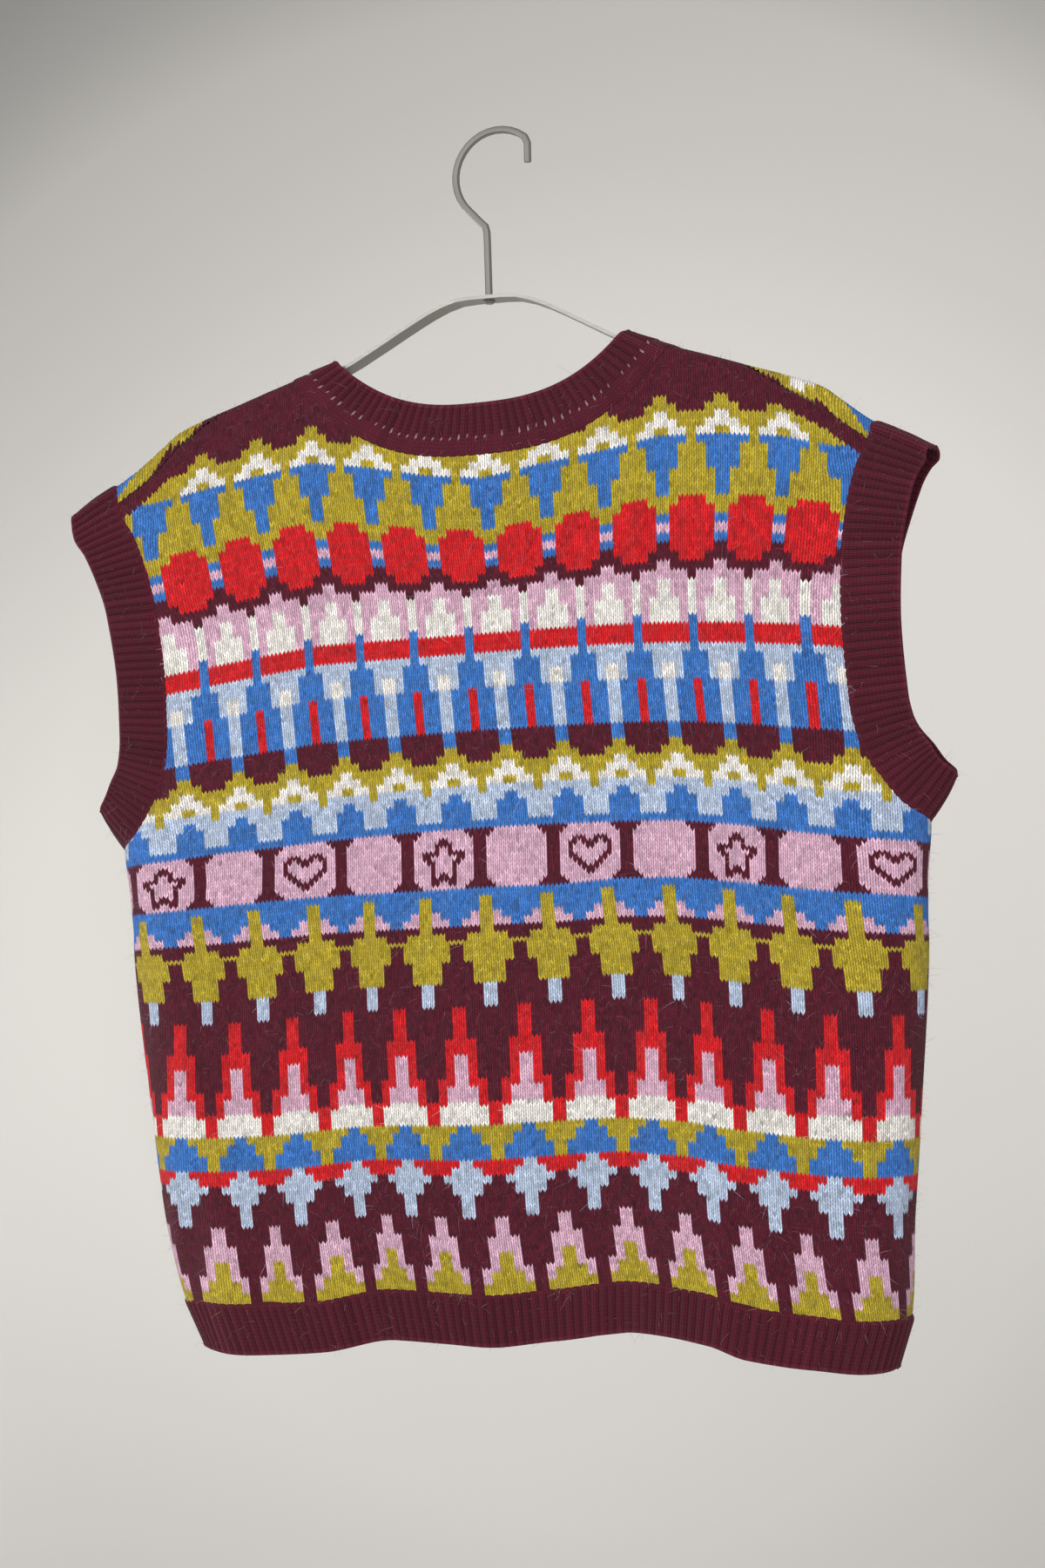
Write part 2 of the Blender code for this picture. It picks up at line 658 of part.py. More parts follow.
def hanger_hook(material):
    """Round wire bent to a hook; its stem goes through the bar and is spread into a head under it."""
    curve = bpy.data.curves.new("hook_wire", "CURVE")
    curve.dimensions = "3D"
    curve.bevel_depth = WIRE_RADIUS
    curve.bevel_resolution = 3
    curve.use_fill_caps = True
    spline = curve.splines.new("POLY")
    route = hook_route()
    spline.points.add(len(route) - 1)
    for point, (x, z) in zip(spline.points, route):
        point.co = (x, 0, z, 1)
    drawn = bpy.data.objects.new("hook_wire", curve)
    PART.objects.link(drawn)
    hook = as_mesh(drawn, "hanger_hook", material)
    radius, thickness = PEENED_HEAD
    under_bar = BAR_TOP - BAR_THICKNESS - SEAM_GAP
    bpy.ops.mesh.primitive_cone_add(
        vertices=24,
        radius1=radius * PEENED_FACE_SHARE,
        radius2=radius,
        depth=thickness,
        location=(HANGER_X, 0, under_bar - thickness / 2),
    )
    head = bpy.context.object
    head.name = "peened_head"
    join_or_cut(hook, helper(head, TOOLS), "UNION")


def finish(name, colour, roughness, metallic):
    """A material with one colour, as rough and as metallic as the piece."""
    material = bpy.data.materials.new(name)
    material.use_nodes = True
    shader = material.node_tree.nodes["Principled BSDF"]
    shader.inputs["Base Color"].default_value = (*colour, 1)
    shader.inputs["Roughness"].default_value = roughness
    shader.inputs["Metallic"].default_value = metallic
    return material


def clear_scene():
    for old in list(bpy.data.objects):
        bpy.data.objects.remove(old)


def new_collection(name):
    collection = bpy.data.collections.new(name)
    bpy.context.scene.collection.children.link(collection)
    return collection


clear_scene()
PART = new_collection("sweater_vest")
TOOLS = new_collection("cutters_and_joins")
knit = finish("patterned_knit", (0.25, 0.16, 0.22), 0.95, 0)
rib = finish("plum_rib", (0.089, 0.018, 0.034), 0.95, 0)
metal = finish("brushed_metal", (0.42, 0.42, 0.40), 0.35, 1)

back_net = panel("back_panel", -1, knit)
front_net = panel("front_panel", 1, knit)
neckband(back_net, front_net, rib)
armband("armband_left", -1, back_net, front_net, rib)
armband("armband_right", 1, back_net, front_net, rib)
hem_rib("hem_rib_back", -1, back_net, rib)
hem_rib("hem_rib_front", 1, front_net, rib)
hanger_bar(metal)
hanger_hook(metal)
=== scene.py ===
"""The looks of a knitted sweater vest that hangs on a flat metal hanger.

The cloth has its own frame: `across` runs to the right along a row of stitches, round the sides to the
side seams, and `height` runs up the rows from the level of the neck points. The panels are worked stitch
by stitch in that frame from listed charts, and each band is a strip of ribs bent to its opening.
"""

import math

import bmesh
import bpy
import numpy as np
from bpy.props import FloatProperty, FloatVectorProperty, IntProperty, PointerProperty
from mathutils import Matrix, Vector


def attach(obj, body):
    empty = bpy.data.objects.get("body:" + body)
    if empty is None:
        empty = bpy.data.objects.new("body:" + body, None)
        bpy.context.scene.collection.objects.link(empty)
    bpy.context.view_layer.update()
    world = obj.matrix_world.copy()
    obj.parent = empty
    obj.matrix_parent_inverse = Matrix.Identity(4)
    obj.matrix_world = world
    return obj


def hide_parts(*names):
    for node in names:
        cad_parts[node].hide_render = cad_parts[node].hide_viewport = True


bl_info = {
    "name": "Knitted vest on a hanger",
    "version": (1, 0, 0),
    "blender": (4, 5, 0),
    "location": "3D View > Sidebar > Vest",
    "description": "Knits a patterned sweater vest around its frame, with its hanger, and lights it",
    "category": "Object",
}

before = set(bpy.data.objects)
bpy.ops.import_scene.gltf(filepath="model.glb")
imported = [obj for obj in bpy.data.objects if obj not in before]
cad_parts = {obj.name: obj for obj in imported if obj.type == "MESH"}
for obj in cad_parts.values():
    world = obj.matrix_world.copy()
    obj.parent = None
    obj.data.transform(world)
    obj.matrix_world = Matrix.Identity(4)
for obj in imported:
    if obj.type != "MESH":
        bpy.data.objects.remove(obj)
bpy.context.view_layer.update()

MM = 0.001
BACK, FRONT = -1, 1
LEFT, RIGHT = -1, 1
FACE, INSIDE = 1, -1

# How the vest hangs
NECK_PLACE = (-5.0 * MM, -137.0 * MM)  # x and z of the middle of the neck
TILT = 0.045  # the right side hangs higher
SHOULDER_SLIP = -10.0 * MM  # the shoulder ends have slid to the left on the hanger
SHOULDER_END = 283.0 * MM
HEM_SLIP = 6.0 * MM  # the hem swings this far to the right
HEM_SLIP_FROM = -520.0 * MM
FRONT_SLIP = -7.0 * MM  # the front lies this far to the left of the back at mid armhole
SLIP_FROM = -90.0 * MM  # and as the back does above this height

# Garment sizes
UNDERARM = -295.5 * MM  # heights in the cloth's own frame
HEM_SEAM = -585.0 * MM
HEM_EDGE = -615.0 * MM
NECK_SEAM_HALF_WIDTH = 126.0 * MM
NECK_EDGE_HALF_WIDTH = 98.5 * MM
NECK_SEAM_DROP = {BACK: 60.0 * MM, FRONT: 105.0 * MM}
NECK_EDGE_DROP = {BACK: 30.0 * MM, FRONT: 75.0 * MM}
NECK_CURVE = {BACK: 2.7, FRONT: 2.9}  # the power of the neckline's curve: the higher, the squarer
SHOULDER_SEAM_FROM = 126.0 * MM
SHOULDER_SEAM_AT = 245.5 * MM
SHOULDER_SEAM_SET_BACK = 21.0 * MM  # the seam lies this far down the back at the shoulder's end
SET_BACK_PACE = 1.25  # above 1 it reaches that before the end
SHOULDER_CLEARANCE = 5.0 * MM  # the armhole's curve ends this far below the shoulder's end
SEAM_STRIP = 11.0 * MM  # the back is plain plum this far from the seam

# The cloth where it passes over the bar
TOP_HALF_DEPTH = 11.2 * MM
TOP_DROP = 8.5 * MM
TOP_SQUARENESS = 0.5
TOP_ABOVE_BAR = 3.2 * MM
HANGER_X = -1.5 * MM
HANGER_TILT = 0.014
BAR_TOP = -100.2 * MM
BAR_HALF_SPAN = 196.0 * MM
RIDGE_ROUNDS = 8  # of approach to the ridge's height
NORMAL_STEP = 0.1 * MM  # between the places whose difference gives a direction
CREASE_WAVER = 0.3  # how much a crease's line wavers, by its half width
RIDGE_POINTS, SHOULDER_POINTS, EDGE_POINTS = 200, 60, 120  # of the curves that are read between points
NECK_POINTS, ARMHOLE_POINTS = 800, 500  # of the lines along which ribs are spaced

# The knitting
CHART_TOP = -60.0 * MM  # the height of the first charted row
FIRST_ROW = -34  # rows above the first charted one, up to the shoulder
BOX_ROW, LOWER_ROW, LAST_ROW = 98, 112, 219  # where the boxes, the lower bands and the hem rib start
FRONT_RISE = 44.0 * MM  # the front's rows lie this much higher at the first charted row
FRONT_RISE_FROM = -290.0 * MM  # and as the back's do below this height
FRONT_SPREAD = 0.05  # its stitches lie wider apart there by this share
HALF_COLUMNS = 216  # half stitches on each side of the centre line, more than a panel has
INSIDE_STEP = 4  # the plain inside has a column for so many half stitches
UNDERLAP = 3.0 * MM  # how far a panel and a band run on under each other
STITCH_JITTER = 0.11  # how much the stitches differ in tone
INSIDE_TONE = (0.6, 0.35)  # the shares of the stitch's own tone and of the panel's mean on the inside
FACE_BAKE = ((0.98, 0.76), (0.01, 0.23))  # size and lower left corner of the face's part of the bake
INSIDE_BAKE = ((0.98, 0.2), (0.01, 0.01))

# The ribs of a band. Distances run from its seam to its rim; reliefs are shares of the rib's own.
MIN_BAND_ROWS = 6
TUCK_ROWS = 2  # rows under the panel
TUCK_END = -0.4 * MM  # how far out the last of them lies
TUCK_FACE, TUCK_SHARE = 0.3 * MM, 0.3  # how far out the other lies, and how much rib it has
BAND_HALF_WALL = 0.9 * MM
BAND_WALL = 1.8 * MM
VALLEY_FACE = 0.5 * MM
RIB_SQUARENESS = 0.8
RIB_RISE, RIB_FALL = 1.5 * MM, 1.6 * MM  # the runs over which ribs rise from a strip and sink at the rim
SEAM_LEAD, SEAM_RISE = 1.5 * MM, 2.0 * MM  # with no strip they rise from this far under the panel
STRIP_FALL, STRIP_SHARE = 1.2 * MM, 0.45
RIM_DEPTH, RIM_RISE, RIM_SHARE = 2.6 * MM, 1.4 * MM, 0.35
NECK_STRIP = 9.5 * MM  # the plain strip at the neckband's seam
ARMBAND_CROWN = 1.0 * MM  # how far the middle of an armhole band bulges
# painted shade: a band's tone in its valleys, and how much lighter a rib's crest is
PAINTED_VALLEY_SHADE, PAINTED_RIB_SHADE = 0.66, 0.34
RIB_JITTER = 0.07  # how much the ribs differ in tone
PAINTED_RIM_HIGHLIGHT = 0.55  # painted highlight: how much lighter the rolled rim is
PINHOLE_SHARE = 0.6  # of the neckband's ribs have a small hole by the strip that lets light through
PINHOLE_REACH = 0.7  # of a row to each side of the strip's edge
FACING_SAMPLE = 400  # points that tell which way a band's faces point

# The loose hairs, by shares of their length
HAIR_STAND = 1.6  # how steeply the straightest ones stand
LEAST_STAND, STAND_POWER = 0.05, 1.5  # most lie nearly flat
HAIR_LENGTHS = 0.45  # how much their lengths differ
LONGEST_HAIR = 2
HAIR_CURL = 0.25
HAIR_DROOP = 0.12
HAIR_TAPER = 0.7
HAIR_MIDDLE, MIDDLE_CURL = 0.55, 0.4
HAIR_ROOT, HAIR_RISE, HAIR_END = -0.3 * MM, 0.4 * MM, 0.3 * MM  # out from the face, at root, middle and end
HAIR_PALENESS = (0.1, 0.5)  # the least and the most share of the pale tone

# Looks. A pair is how much a pattern adds to a tone or a finish, and what there is without it.
FIBRE_SCALE, HEATHER_SCALE = 1100, 42
LEG_SQUARENESS, ROW_SQUARENESS = 0.6, 0.5
ROW_RELIEF = (0.6, 0.4)
FIBRE_RELIEF = 0.35
# painted shade in the gaps between a stitch's legs and between its rows
PAINTED_STITCH_SHADE = (0.95, 0.32)
HEATHER_SHADE = (0.2, 0.9)
FIBRE_SHADE = (0.8, 0.6)
BRUSH_SCALE = (40, 1500, 1500)
METAL_ROUGHNESS = (0.18, 0.42)

# Camera and stage
CAMERA_PLACE = (0.4444, -1.268, -0.4005)
CAMERA_TURN = math.radians(18.5)
CAMERA_LENS = 50.0
FLOOR_LEVEL = -1.25
FLOOR_RUN = 4.0
WALL_DISTANCE = 1.5
WALL_CURVE = 0.8
WALL_HEIGHT = 4.0  # above the curve
STAGE_HALF_WIDTH = 4.0
PAINTED_LIGHT_PLACE = (-0.38, 1.5, -0.5)  # where the painted pool of light on the backdrop is brightest, as the camera is turned
PAINTED_LIGHT_REACH = 1.6
PAINTED_LIGHT_FALLOFF = ((0.156, 0.5), (0.219, 0.6), (0.3, 0.8), (0.4375, 0.88), (0.5625, 1.0))  # painted falloff of light on the backdrop: nearness and tone
PAINTED_LIGHT_SLANT = (-0.6, 0.5, 0.78, 1.3)  # painted side-to-side falloff of light: two places across, in reaches, and the shares of the tone there
ROOM_COLOUR = (0.95, 0.96, 1.0, 1)
VEST_MIDDLE = (0, 0, -0.42)
LIGHTS = {  # place, target, width and height, and colour
    "key": ((-0.9, -2.3, 0.5), VEST_MIDDLE, (1.6, 1.6), (1.0, 0.985, 0.96)),
    "fill": ((1.7, -2.0, -0.2), VEST_MIDDLE, (1.4, 1.8), (0.96, 0.98, 1.0)),
    "wall": ((-1.6, 0.2, -0.9), (-0.4, 1.6, -0.6), (0.8, 0.8), (1, 1, 1)),
}


def table(columns, *rows):
    """Named columns of a short table, in rising order of its first one. A column whose name ends in `share`
    has plain numbers, and the others are in millimetres."""
    values = np.array(sorted(rows), float)
    names = columns.split()
    units = [1 if name.endswith("share") else MM for name in names]
    return {name: values[:, i] * unit for i, (name, unit) in enumerate(zip(names, units))}


# Level by level: half the width between the side seams, half the depth from front to back, the run over
# which a side rounds away, and the share of the depth that stays open at the side.
BODY = table(
    "height half_width half_depth round_run open_share",
    (40, 262, 11, 40, 0.3),
    (-80, 262, 11, 40, 0.3),
    (-100, 249, 11, 40, 0.3),
    (-118, 240, 11, 40, 0.3),
    (-142, 234, 11.2, 40, 0.3),
    (-186, 231.5, 12, 40, 0.3),
    (-226, 233, 14, 40, 0.28),
    (-249, 237, 15.5, 41, 0.2),
    (-268, 246, 17, 42, 0.1),
    (-286, 257, 18.5, 43, 0.02),
    (-295.5, 260, 19, 43, 0),
    (-332, 256.5, 22, 44, 0),
    (-366, 255.5, 24, 45, 0),
    (-457, 247.5, 29, 47, 0),
    (-524, 240.5, 32, 48, 0),
    (-560, 236, 33, 48, 0),
    (-585, 231, 33.5, 48, 0),
    (-615, 219.5, 33, 47, 0),
)

# The seam round an armhole, below the ridge of the shoulder
ARMHOLE = (
    (250, -71),
    (243, -80),
    (235, -95),
    (229.5, -113),
    (224, -142),
    (221, -186),
    (222, -226),
    (226, -249),
    (236, -268),
    (250, -286),
)

# Which way the armhole band stands out of its seam, from the shoulder (0) to the underarm (1), how much
# wider its edge opens from front to back than its seam does, and its width
ARMBAND = table(
    "way_share out_share up_share opening_share width",
    (0, 0.86, -0.51, 0.25, 35),
    (0.15, 0.96, -0.28, 0.22, 35),
    (0.35, 1.0, -0.02, 0.05, 34),
    (0.6, 1.0, 0.05, 0, 33),
    (0.8, 0.92, 0.39, -0.05, 33),
    (0.92, 0.68, 0.73, -0.1, 31.5),
    (1, 0.5, 0.87, -0.1, 30),
)

# The top of the bar, out from its middle, and the cloth's ridge beyond the bar's ends
BAR = table(
    "out drop",
    (0, 0),
    (15, 0),
    (25, -2),
    (35, -5.6),
    (50, -13),
    (75, -26.5),
    (99, -38.5),
    (118, -44.5),
    (142, -52),
    (166, -60),
    (192, -68.5),
    (208, -75),
)
RIDGE_PAST_BAR = table(
    "out drop",
    (192, -68.5),
    (208, -75),
    (218, -82.5),
    (236, -96),
    (256, -107.5),
    (273, -114.5),
    (300, -130),
)

# The hem rises in the middle of the back; the front does so by half as much
HEM_LIFT = table(
    "across lift",
    (-260, 0),
    (-190, 2),
    (-127, 6),
    (-81, 14),
    (-20, 11),
    (20, 15),
    (74, 22),
    (117, 19),
    (140, 12),
    (190, 5),
    (260, 0),
)
FRONT_LIFT_SHARE = 0.5
HEM_LIFT_FROM = -400.0 * MM

# Soft folds, by the place across at the hem, how far that place leans over 100 mm of height, how far the
# cloth stands out (in if negative), half its width, and the height where it fades out
FOLDS = {
    BACK: (
        (25, 0, -15, 95, -330),
        (128, -2, 6, 26, -360),
        (-93, 3, -3, 20, -420),
        (-212, 2, -5, 15, -430),
        (-20, 1, 3, 16, -520),
        (60, 2, -3, 18, -480),
        (185, -3, -4, 16, -420),
    ),
    FRONT: (
        (-15, 0, -12, 90, -350),
        (-120, 2, 5, 26, -380),
        (105, -3, 4, 22, -420),
        (200, -2, -4, 16, -440),
        (30, 1, -3, 18, -500),
        (-190, 3, -4, 16, -430),
    ),
}

# Small creases that only the cloth's surface has: where the middle lies across and up, the way it runs in
# degrees from level, half its length and half its width, and how far it stands out (in if negative)
CREASES = {
    BACK: (
        (-196, -318, 28, 60, 7, -1.6),
        (-178, -336, 24, 50, 8, 1.1),
        (204, -322, 152, 55, 7, -1.5),
        (186, -342, 156, 46, 8, 1.0),
        (-218, -520, 84, 70, 8, 1.6),
        (-160, -548, 92, 52, 9, -1.2),
        (-60, -430, 88, 70, 10, -0.9),
        (96, -470, 95, 80, 9, 1.5),
        (150, -540, 80, 50, 9, -1.6),
        (60, -110, 12, 45, 8, -0.8),
        (-90, -120, 168, 48, 8, -0.8),
        (0, -230, 3, 90, 12, 0.5),
        (215, -440, 96, 60, 8, 1.2),
    ),
    FRONT: (
        (-200, -322, 26, 60, 7, -1.6),
        (-180, -340, 22, 48, 8, 1.1),
        (200, -320, 154, 56, 7, -1.5),
        (182, -344, 158, 44, 8, 1.0),
        (-140, -530, 95, 60, 9, -1.4),
        (40, -500, 86, 66, 10, 1.3),
        (120, -455, 84, 70, 9, -1.1),
        (-50, -440, 93, 76, 10, -0.9),
        (70, -150, 14, 44, 8, -0.8),
        (-80, -156, 166, 46, 8, -0.8),
        (10, -270, 4, 84, 12, 0.5),
    ),
}

# How far the rows lie above (or below) their even places, and the wales to the right of theirs
ROW_PLACES = (-260, -220, -185, -148, -112, -76, -37, 0, 40, 78, 114, 152, 190, 222, 260)
ROW_LIFT = (
    (-40, (-6, 0, 7, 13, 18, 12, 3.7, -1, 4.7, 8.6, 14, 12, 6, -3, -8)),
    (-74, (0, 2, 8, 13.5, 18.5, 12.4, 3.7, -1, 4.7, 8.6, 14, 12, 7, -2, -6)),
    (-184, (-16, -12, -7, -2.5, 1.5, 2, 2.2, 2.5, 2.7, 2.3, 1, -1.5, -5, -9.5, -14)),
    (-290, (-15.7, -12, -8.5, -6.2, -3.2, -1.2, 0.5, 1.6, 2, 1.9, 1.1, -3, -9, -13.5, -17.7)),
    (-324, (-13, -10, -7.7, -5.2, -3.4, -2.5, -1.6, -0.5, -0.3, 2.2, 1.8, -2.5, -7.5, -11, -15)),
    (-402, (-4, -4, -3.5, -1.5, 2.5, 4, 4.8, 6, 7.8, 9.5, 8, 3, -1.5, -3.3, -4)),
    (-585, (0, 0, 0, 0, 0, 0, 0, 0, 0, 0, 0, 0, 0, 0, 0)),
)
WALE_PLACES = (-240, -200, -160, -120, -80, -40, 0, 40, 80, 120, 160, 200, 240)
WALE_SHIFT = (
    (-40, (-9, -8.5, -7.5, -5, -4.5, -2, 1.8, 5, 7.5, 9.5, 14, 15.5, 13)),
    (-74, (-9, -8.5, -7.5, -5, -4.5, -2, 1.8, 5, 7.5, 9.5, 14, 15.5, 13)),
    (-174, (4.5, 4.5, 4.7, 5, 3.5, 4.3, 5, 6.2, 6.3, 5.5, 4.3, 1, -1)),
    (-310, (8, 9.3, 11, 14.5, 12, 12.7, 13.4, 13.5, 12.7, 12.5, 7.8, 6, 4)),
    (-400, (18, 15.5, 17.5, 17.5, 12.2, 12.8, 16.6, 18.6, 19.6, 14.2, 12.5, 11, 6)),
    (-576, (15, 23, 20.5, 21.5, 16, 13, 14.5, 15.2, 16.5, 15, 12, 7, 4)),
)

# The charts: so many rows of the same stitches, given from the middle of a repeat outwards.
# p plum, o olive, i ivory, b blue, r red, k pink, l light blue
YOKE_CHART = ((2, "ooppppp"), (2, "ooooppp"))
UPPER_CHART = (
    (2, "iiooooo"),
    (2, "iiiiooo"),
    (2, "ooiiiio"),
    (2, "bbbbbbo"),
    (6, "bbbbooo"),
    (6, "bbooooo"),
    (2, "oooorrr"),
    (2, "oorrrrr"),
    (2, "bbrrrrr"),
    (2, "kkrrrrr"),
    (2, "bbrrrrr"),
    (2, "pprrrrr"),
    (2, "pppprrr"),
    (2, "kkppppp"),
    (2, "kkkkkkp"),
    (4, "iikkkki"),
    (4, "iiiikki"),
    (2, "iiiikkb"),
    (5, "rrrrrrb"),
    (2, "llllllb"),
    (3, "llllbbb"),
    (4, "iillbbb"),
    (11, "llbbbbr"),
    (4, "bbppppp"),
    (2, "ooppppp"),
    (2, "ooooppp"),
    (2, "iiooooo"),
    (2, "iiiiooo"),
    (2, "ooiiiio"),
    (2, "llllllo"),
    (2, "bblllll"),
    (5, "bbbblll"),
    (2, "bbbbbbb"),
)
BOX_CHART = ((1, "ppppkkkkk"), (1, "pppkkkkkk"), (10, "ppkkkkkkk"), (1, "pppkkkkkk"), (1, "ppppkkkkk"))
LOWER_CHART = (
    (2, "bbbbbbbb"),
    (4, "oobbbbbb"),
    (2, "ookkbbbb"),
    (2, "ookkkkbb"),
    (2, "oopppppp"),
    (2, "oooooppp"),
    (1, "oooooooo"),
    (5, "oooooopp"),
    (6, "oooopppp"),
    (6, "llpppppp"),
    (8, "pppppprr"),
    (4, "pppprrrr"),
    (6, "pppprrkk"),
    (2, "pprrrrkk"),
    (4, "pprrkkkk"),
    (1, "rrrriiii"),
    (5, "rriiiiii"),
    (2, "oooooobb"),
    (3, "oooobbbb"),
    (4, "oobbbbbb"),
    (2, "rrrrrrll"),
    (2, "rrrrllll"),
    (2, "ppllllll"),
    (3, "ppppllll"),
    (6, "ppppppll"),
    (5, "kkpppppp"),
    (4, "kkkkpppp"),
    (4, "ookkpppp"),
    (1, "ookkkkpp"),
    (3, "ooookkpp"),
    (4, "oooooopp"),
)
HEART = (
    ".###..###.",
    "##.####.##",
    "#...##...#",
    "#........#",
    "##......##",
    ".##....##.",
    "..##..##..",
    "...####...",
    "....##....",
)
STAR = (
    "....##....",
    "...####...",
    "...#..#...",
    "####..####",
    "##......##",
    ".##....##.",
    "..#....#..",
    "..#....#..",
    "..#.##.#..",
    "..######..",
    "..##..##..",
)
BOX_WIDTH = 17
YOKE_ROWS = sum(count for count, _ in YOKE_CHART)
ZONES = (  # first row, the row after the last, chart, and the middle and width of its repeat
    (-YOKE_ROWS, 0, YOKE_CHART, 0, 13),
    (0, BOX_ROW, UPPER_CHART, 0, 13),
    (BOX_ROW, LOWER_ROW, BOX_CHART, 9, BOX_WIDTH),
    (LOWER_ROW, LAST_ROW, LOWER_CHART, 7, 14),
)
MOTIFS = ((1, HEART, BOX_ROW + 3), (3, STAR, BOX_ROW + 2))  # its box out of every four, and its first row
TOP_ROWS, LAST_WHOLE_TOP = 6, 71  # past this stitch the first rows have no ivory
YARN_LETTERS = "poibrkl"


def from_srgb(red, green, blue):
    """A colour in Blender's linear numbers, from one on a scale of 255."""
    share = np.array((red, green, blue)) / 255
    linear = np.where(share < 0.04045, share / 12.92, ((share + 0.055) / 1.055) ** 2.4)
    return tuple(float(v) for v in linear)


PINHOLE = from_srgb(206, 186, 184)
PALE_HAIR = from_srgb(200, 180, 190)


class VestSizes(bpy.types.PropertyGroup):
    stitch_width: FloatProperty(
        name="Stitch width", description="Width of one stitch", default=2.73 * MM, unit="LENGTH"
    )
    upper_row: FloatProperty(
        name="Upper row", description="Height of a row above the boxes", default=2.35 * MM, unit="LENGTH"
    )
    lower_row: FloatProperty(
        name="Lower row", description="Height of a row below the boxes", default=2.436 * MM, unit="LENGTH"
    )
    stitch_dip: FloatProperty(
        name="Stitch dip",
        description="How far the middle of a stitch lies lower, in rows",
        default=0.95,
    )
    half_wall: FloatProperty(
        name="Half thickness",
        description="Half the thickness of the cloth",
        default=1.2 * MM,
        unit="LENGTH",
    )
    rib_pitch: FloatProperty(
        name="Rib pitch", description="Width of a rib with its valley", default=5.4 * MM, unit="LENGTH"
    )
    rib_relief: FloatProperty(
        name="Rib relief", description="How far a rib stands out", default=1.5 * MM, unit="LENGTH"
    )
    rib_points: IntProperty(name="Points in a rib", description="Points across one rib", default=8, min=4)
    band_row: FloatProperty(
        name="Band row", description="Distance between a band's points", default=1.5 * MM, unit="LENGTH"
    )
    hairs: IntProperty(name="Hairs", description="Loose ends of wool that stand out", default=16000, min=0)
    hair_length: FloatProperty(
        name="Hair length", description="Length of a usual hair", default=4.5 * MM, unit="LENGTH"
    )
    hair_width: FloatProperty(
        name="Hair width", description="Width of a hair at its root", default=0.14 * MM, unit="LENGTH"
    )


def yarn(name, *tone):
    """The setting of a yarn's colour."""
    description = f"Colour of the {name.lower()} yarn"
    return FloatVectorProperty(
        name=name, description=description, subtype="COLOR", default=from_srgb(*tone)
    )


class VestYarns(bpy.types.PropertyGroup):
    plum: yarn("Plum", 90, 28, 44)
    olive: yarn("Olive", 186, 165, 50)
    ivory: yarn("Ivory", 246, 241, 233)
    blue: yarn("Blue", 66, 122, 200)
    red: yarn("Red", 216, 34, 40)
    pink: yarn("Pink", 224, 179, 201)
    light_blue: yarn("Light blue", 190, 205, 229)

    def tones(self):
        """The yarns in the order of the chart's letters."""
        used = self.plum, self.olive, self.ivory, self.blue, self.red, self.pink, self.light_blue
        return np.array([tuple(tone) for tone in used])


class StageLook(bpy.types.PropertyGroup):
    backdrop: FloatVectorProperty(
        name="Backdrop",
        description="Colour of the floor and wall",
        subtype="COLOR",
        default=from_srgb(226, 223, 217),
    )
    metal: FloatVectorProperty(
        name="Metal", description="Colour of the hanger", subtype="COLOR", default=from_srgb(150, 148, 143)
    )
    key_power: FloatProperty(
        name="Key light", description="Power of the key light", default=38, unit="POWER"
    )
    fill_power: FloatProperty(
        name="Fill light", description="Power of the fill light", default=17, unit="POWER"
    )
    wall_power: FloatProperty(
        name="Wall light", description="Power of the wall light", default=14, unit="POWER"
    )
    ambient: FloatProperty(
        name="Ambient", description="Strength of the light from all around", default=0.45
    )


def smooth(value, places, heights):
    """Reads a table along a curve that bends evenly through its rows and never overshoots them."""
    secants = np.diff(heights) / np.diff(places)
    before, after = secants[:-1], secants[1:]
    same = before * after > 0
    inner = np.where(same, 2 * before * after / np.where(same, before + after, 1), 0)
    slopes = np.concatenate([secants[:1], inner, secants[-1:]])
    row = np.clip(np.searchsorted(places, value) - 1, 0, len(places) - 2)
    gap = places[row + 1] - places[row]
    t = np.clip((value - places[row]) / gap, 0, 1)
    rise = heights[row + 1] - heights[row]
    a, b = slopes[row] * gap, slopes[row + 1] * gap
    return heights[row] + t * (a + t * (3 * rise - 2 * a - b + t * (a + b - 2 * rise)))


def ease(share):
    """Rises evenly from 0 to 1."""
    share = np.clip(share, 0, 1)
    return share * share * (3 - 2 * share)


def unit(vectors):
    return vectors / np.linalg.norm(vectors, axis=-1, keepdims=True)


def bar_top(x):
    """The height of the bar's top at a place along it."""
    out = np.abs(x - HANGER_X)
    return BAR_TOP + smooth(out, BAR["out"], BAR["drop"]) + HANGER_TILT * (x - HANGER_X)


def ridge_height(x):
    """The height of the cloth's middle along the ridge of the shoulders."""
    out = np.abs(x - HANGER_X)
    past = smooth(out, RIDGE_PAST_BAR["out"], RIDGE_PAST_BAR["drop"])
    beyond = BAR_TOP + past + HANGER_TILT * (x - HANGER_X)
    return np.where(out > BAR_HALF_SPAN, beyond, bar_top(x)) + TOP_ABOVE_BAR


def ridge_profile():
    """Distance along the cloth from the ridge, half depth and drop, down one side of the bar."""
    turn = np.linspace(0, math.pi / 2, RIDGE_POINTS)
    depth = TOP_HALF_DEPTH * np.sin(turn) ** TOP_SQUARENESS
    drop = TOP_DROP * (1 - np.cos(turn) ** TOP_SQUARENESS)
    steps = np.hypot(np.diff(depth), np.diff(drop))
    return np.concatenate([[0], np.cumsum(steps)]), depth, drop


RIDGE_ARC, RIDGE_DEPTH, RIDGE_DROP = ridge_profile()


def over_ridge(down):
    """Half depth, as a share of the depth under the bar, and drop from the ridge."""
    depth = np.interp(down, RIDGE_ARC, RIDGE_DEPTH)
    drop = np.interp(down, RIDGE_ARC, RIDGE_DROP) + np.maximum(down - RIDGE_ARC[-1], 0)
    return depth / TOP_HALF_DEPTH, drop


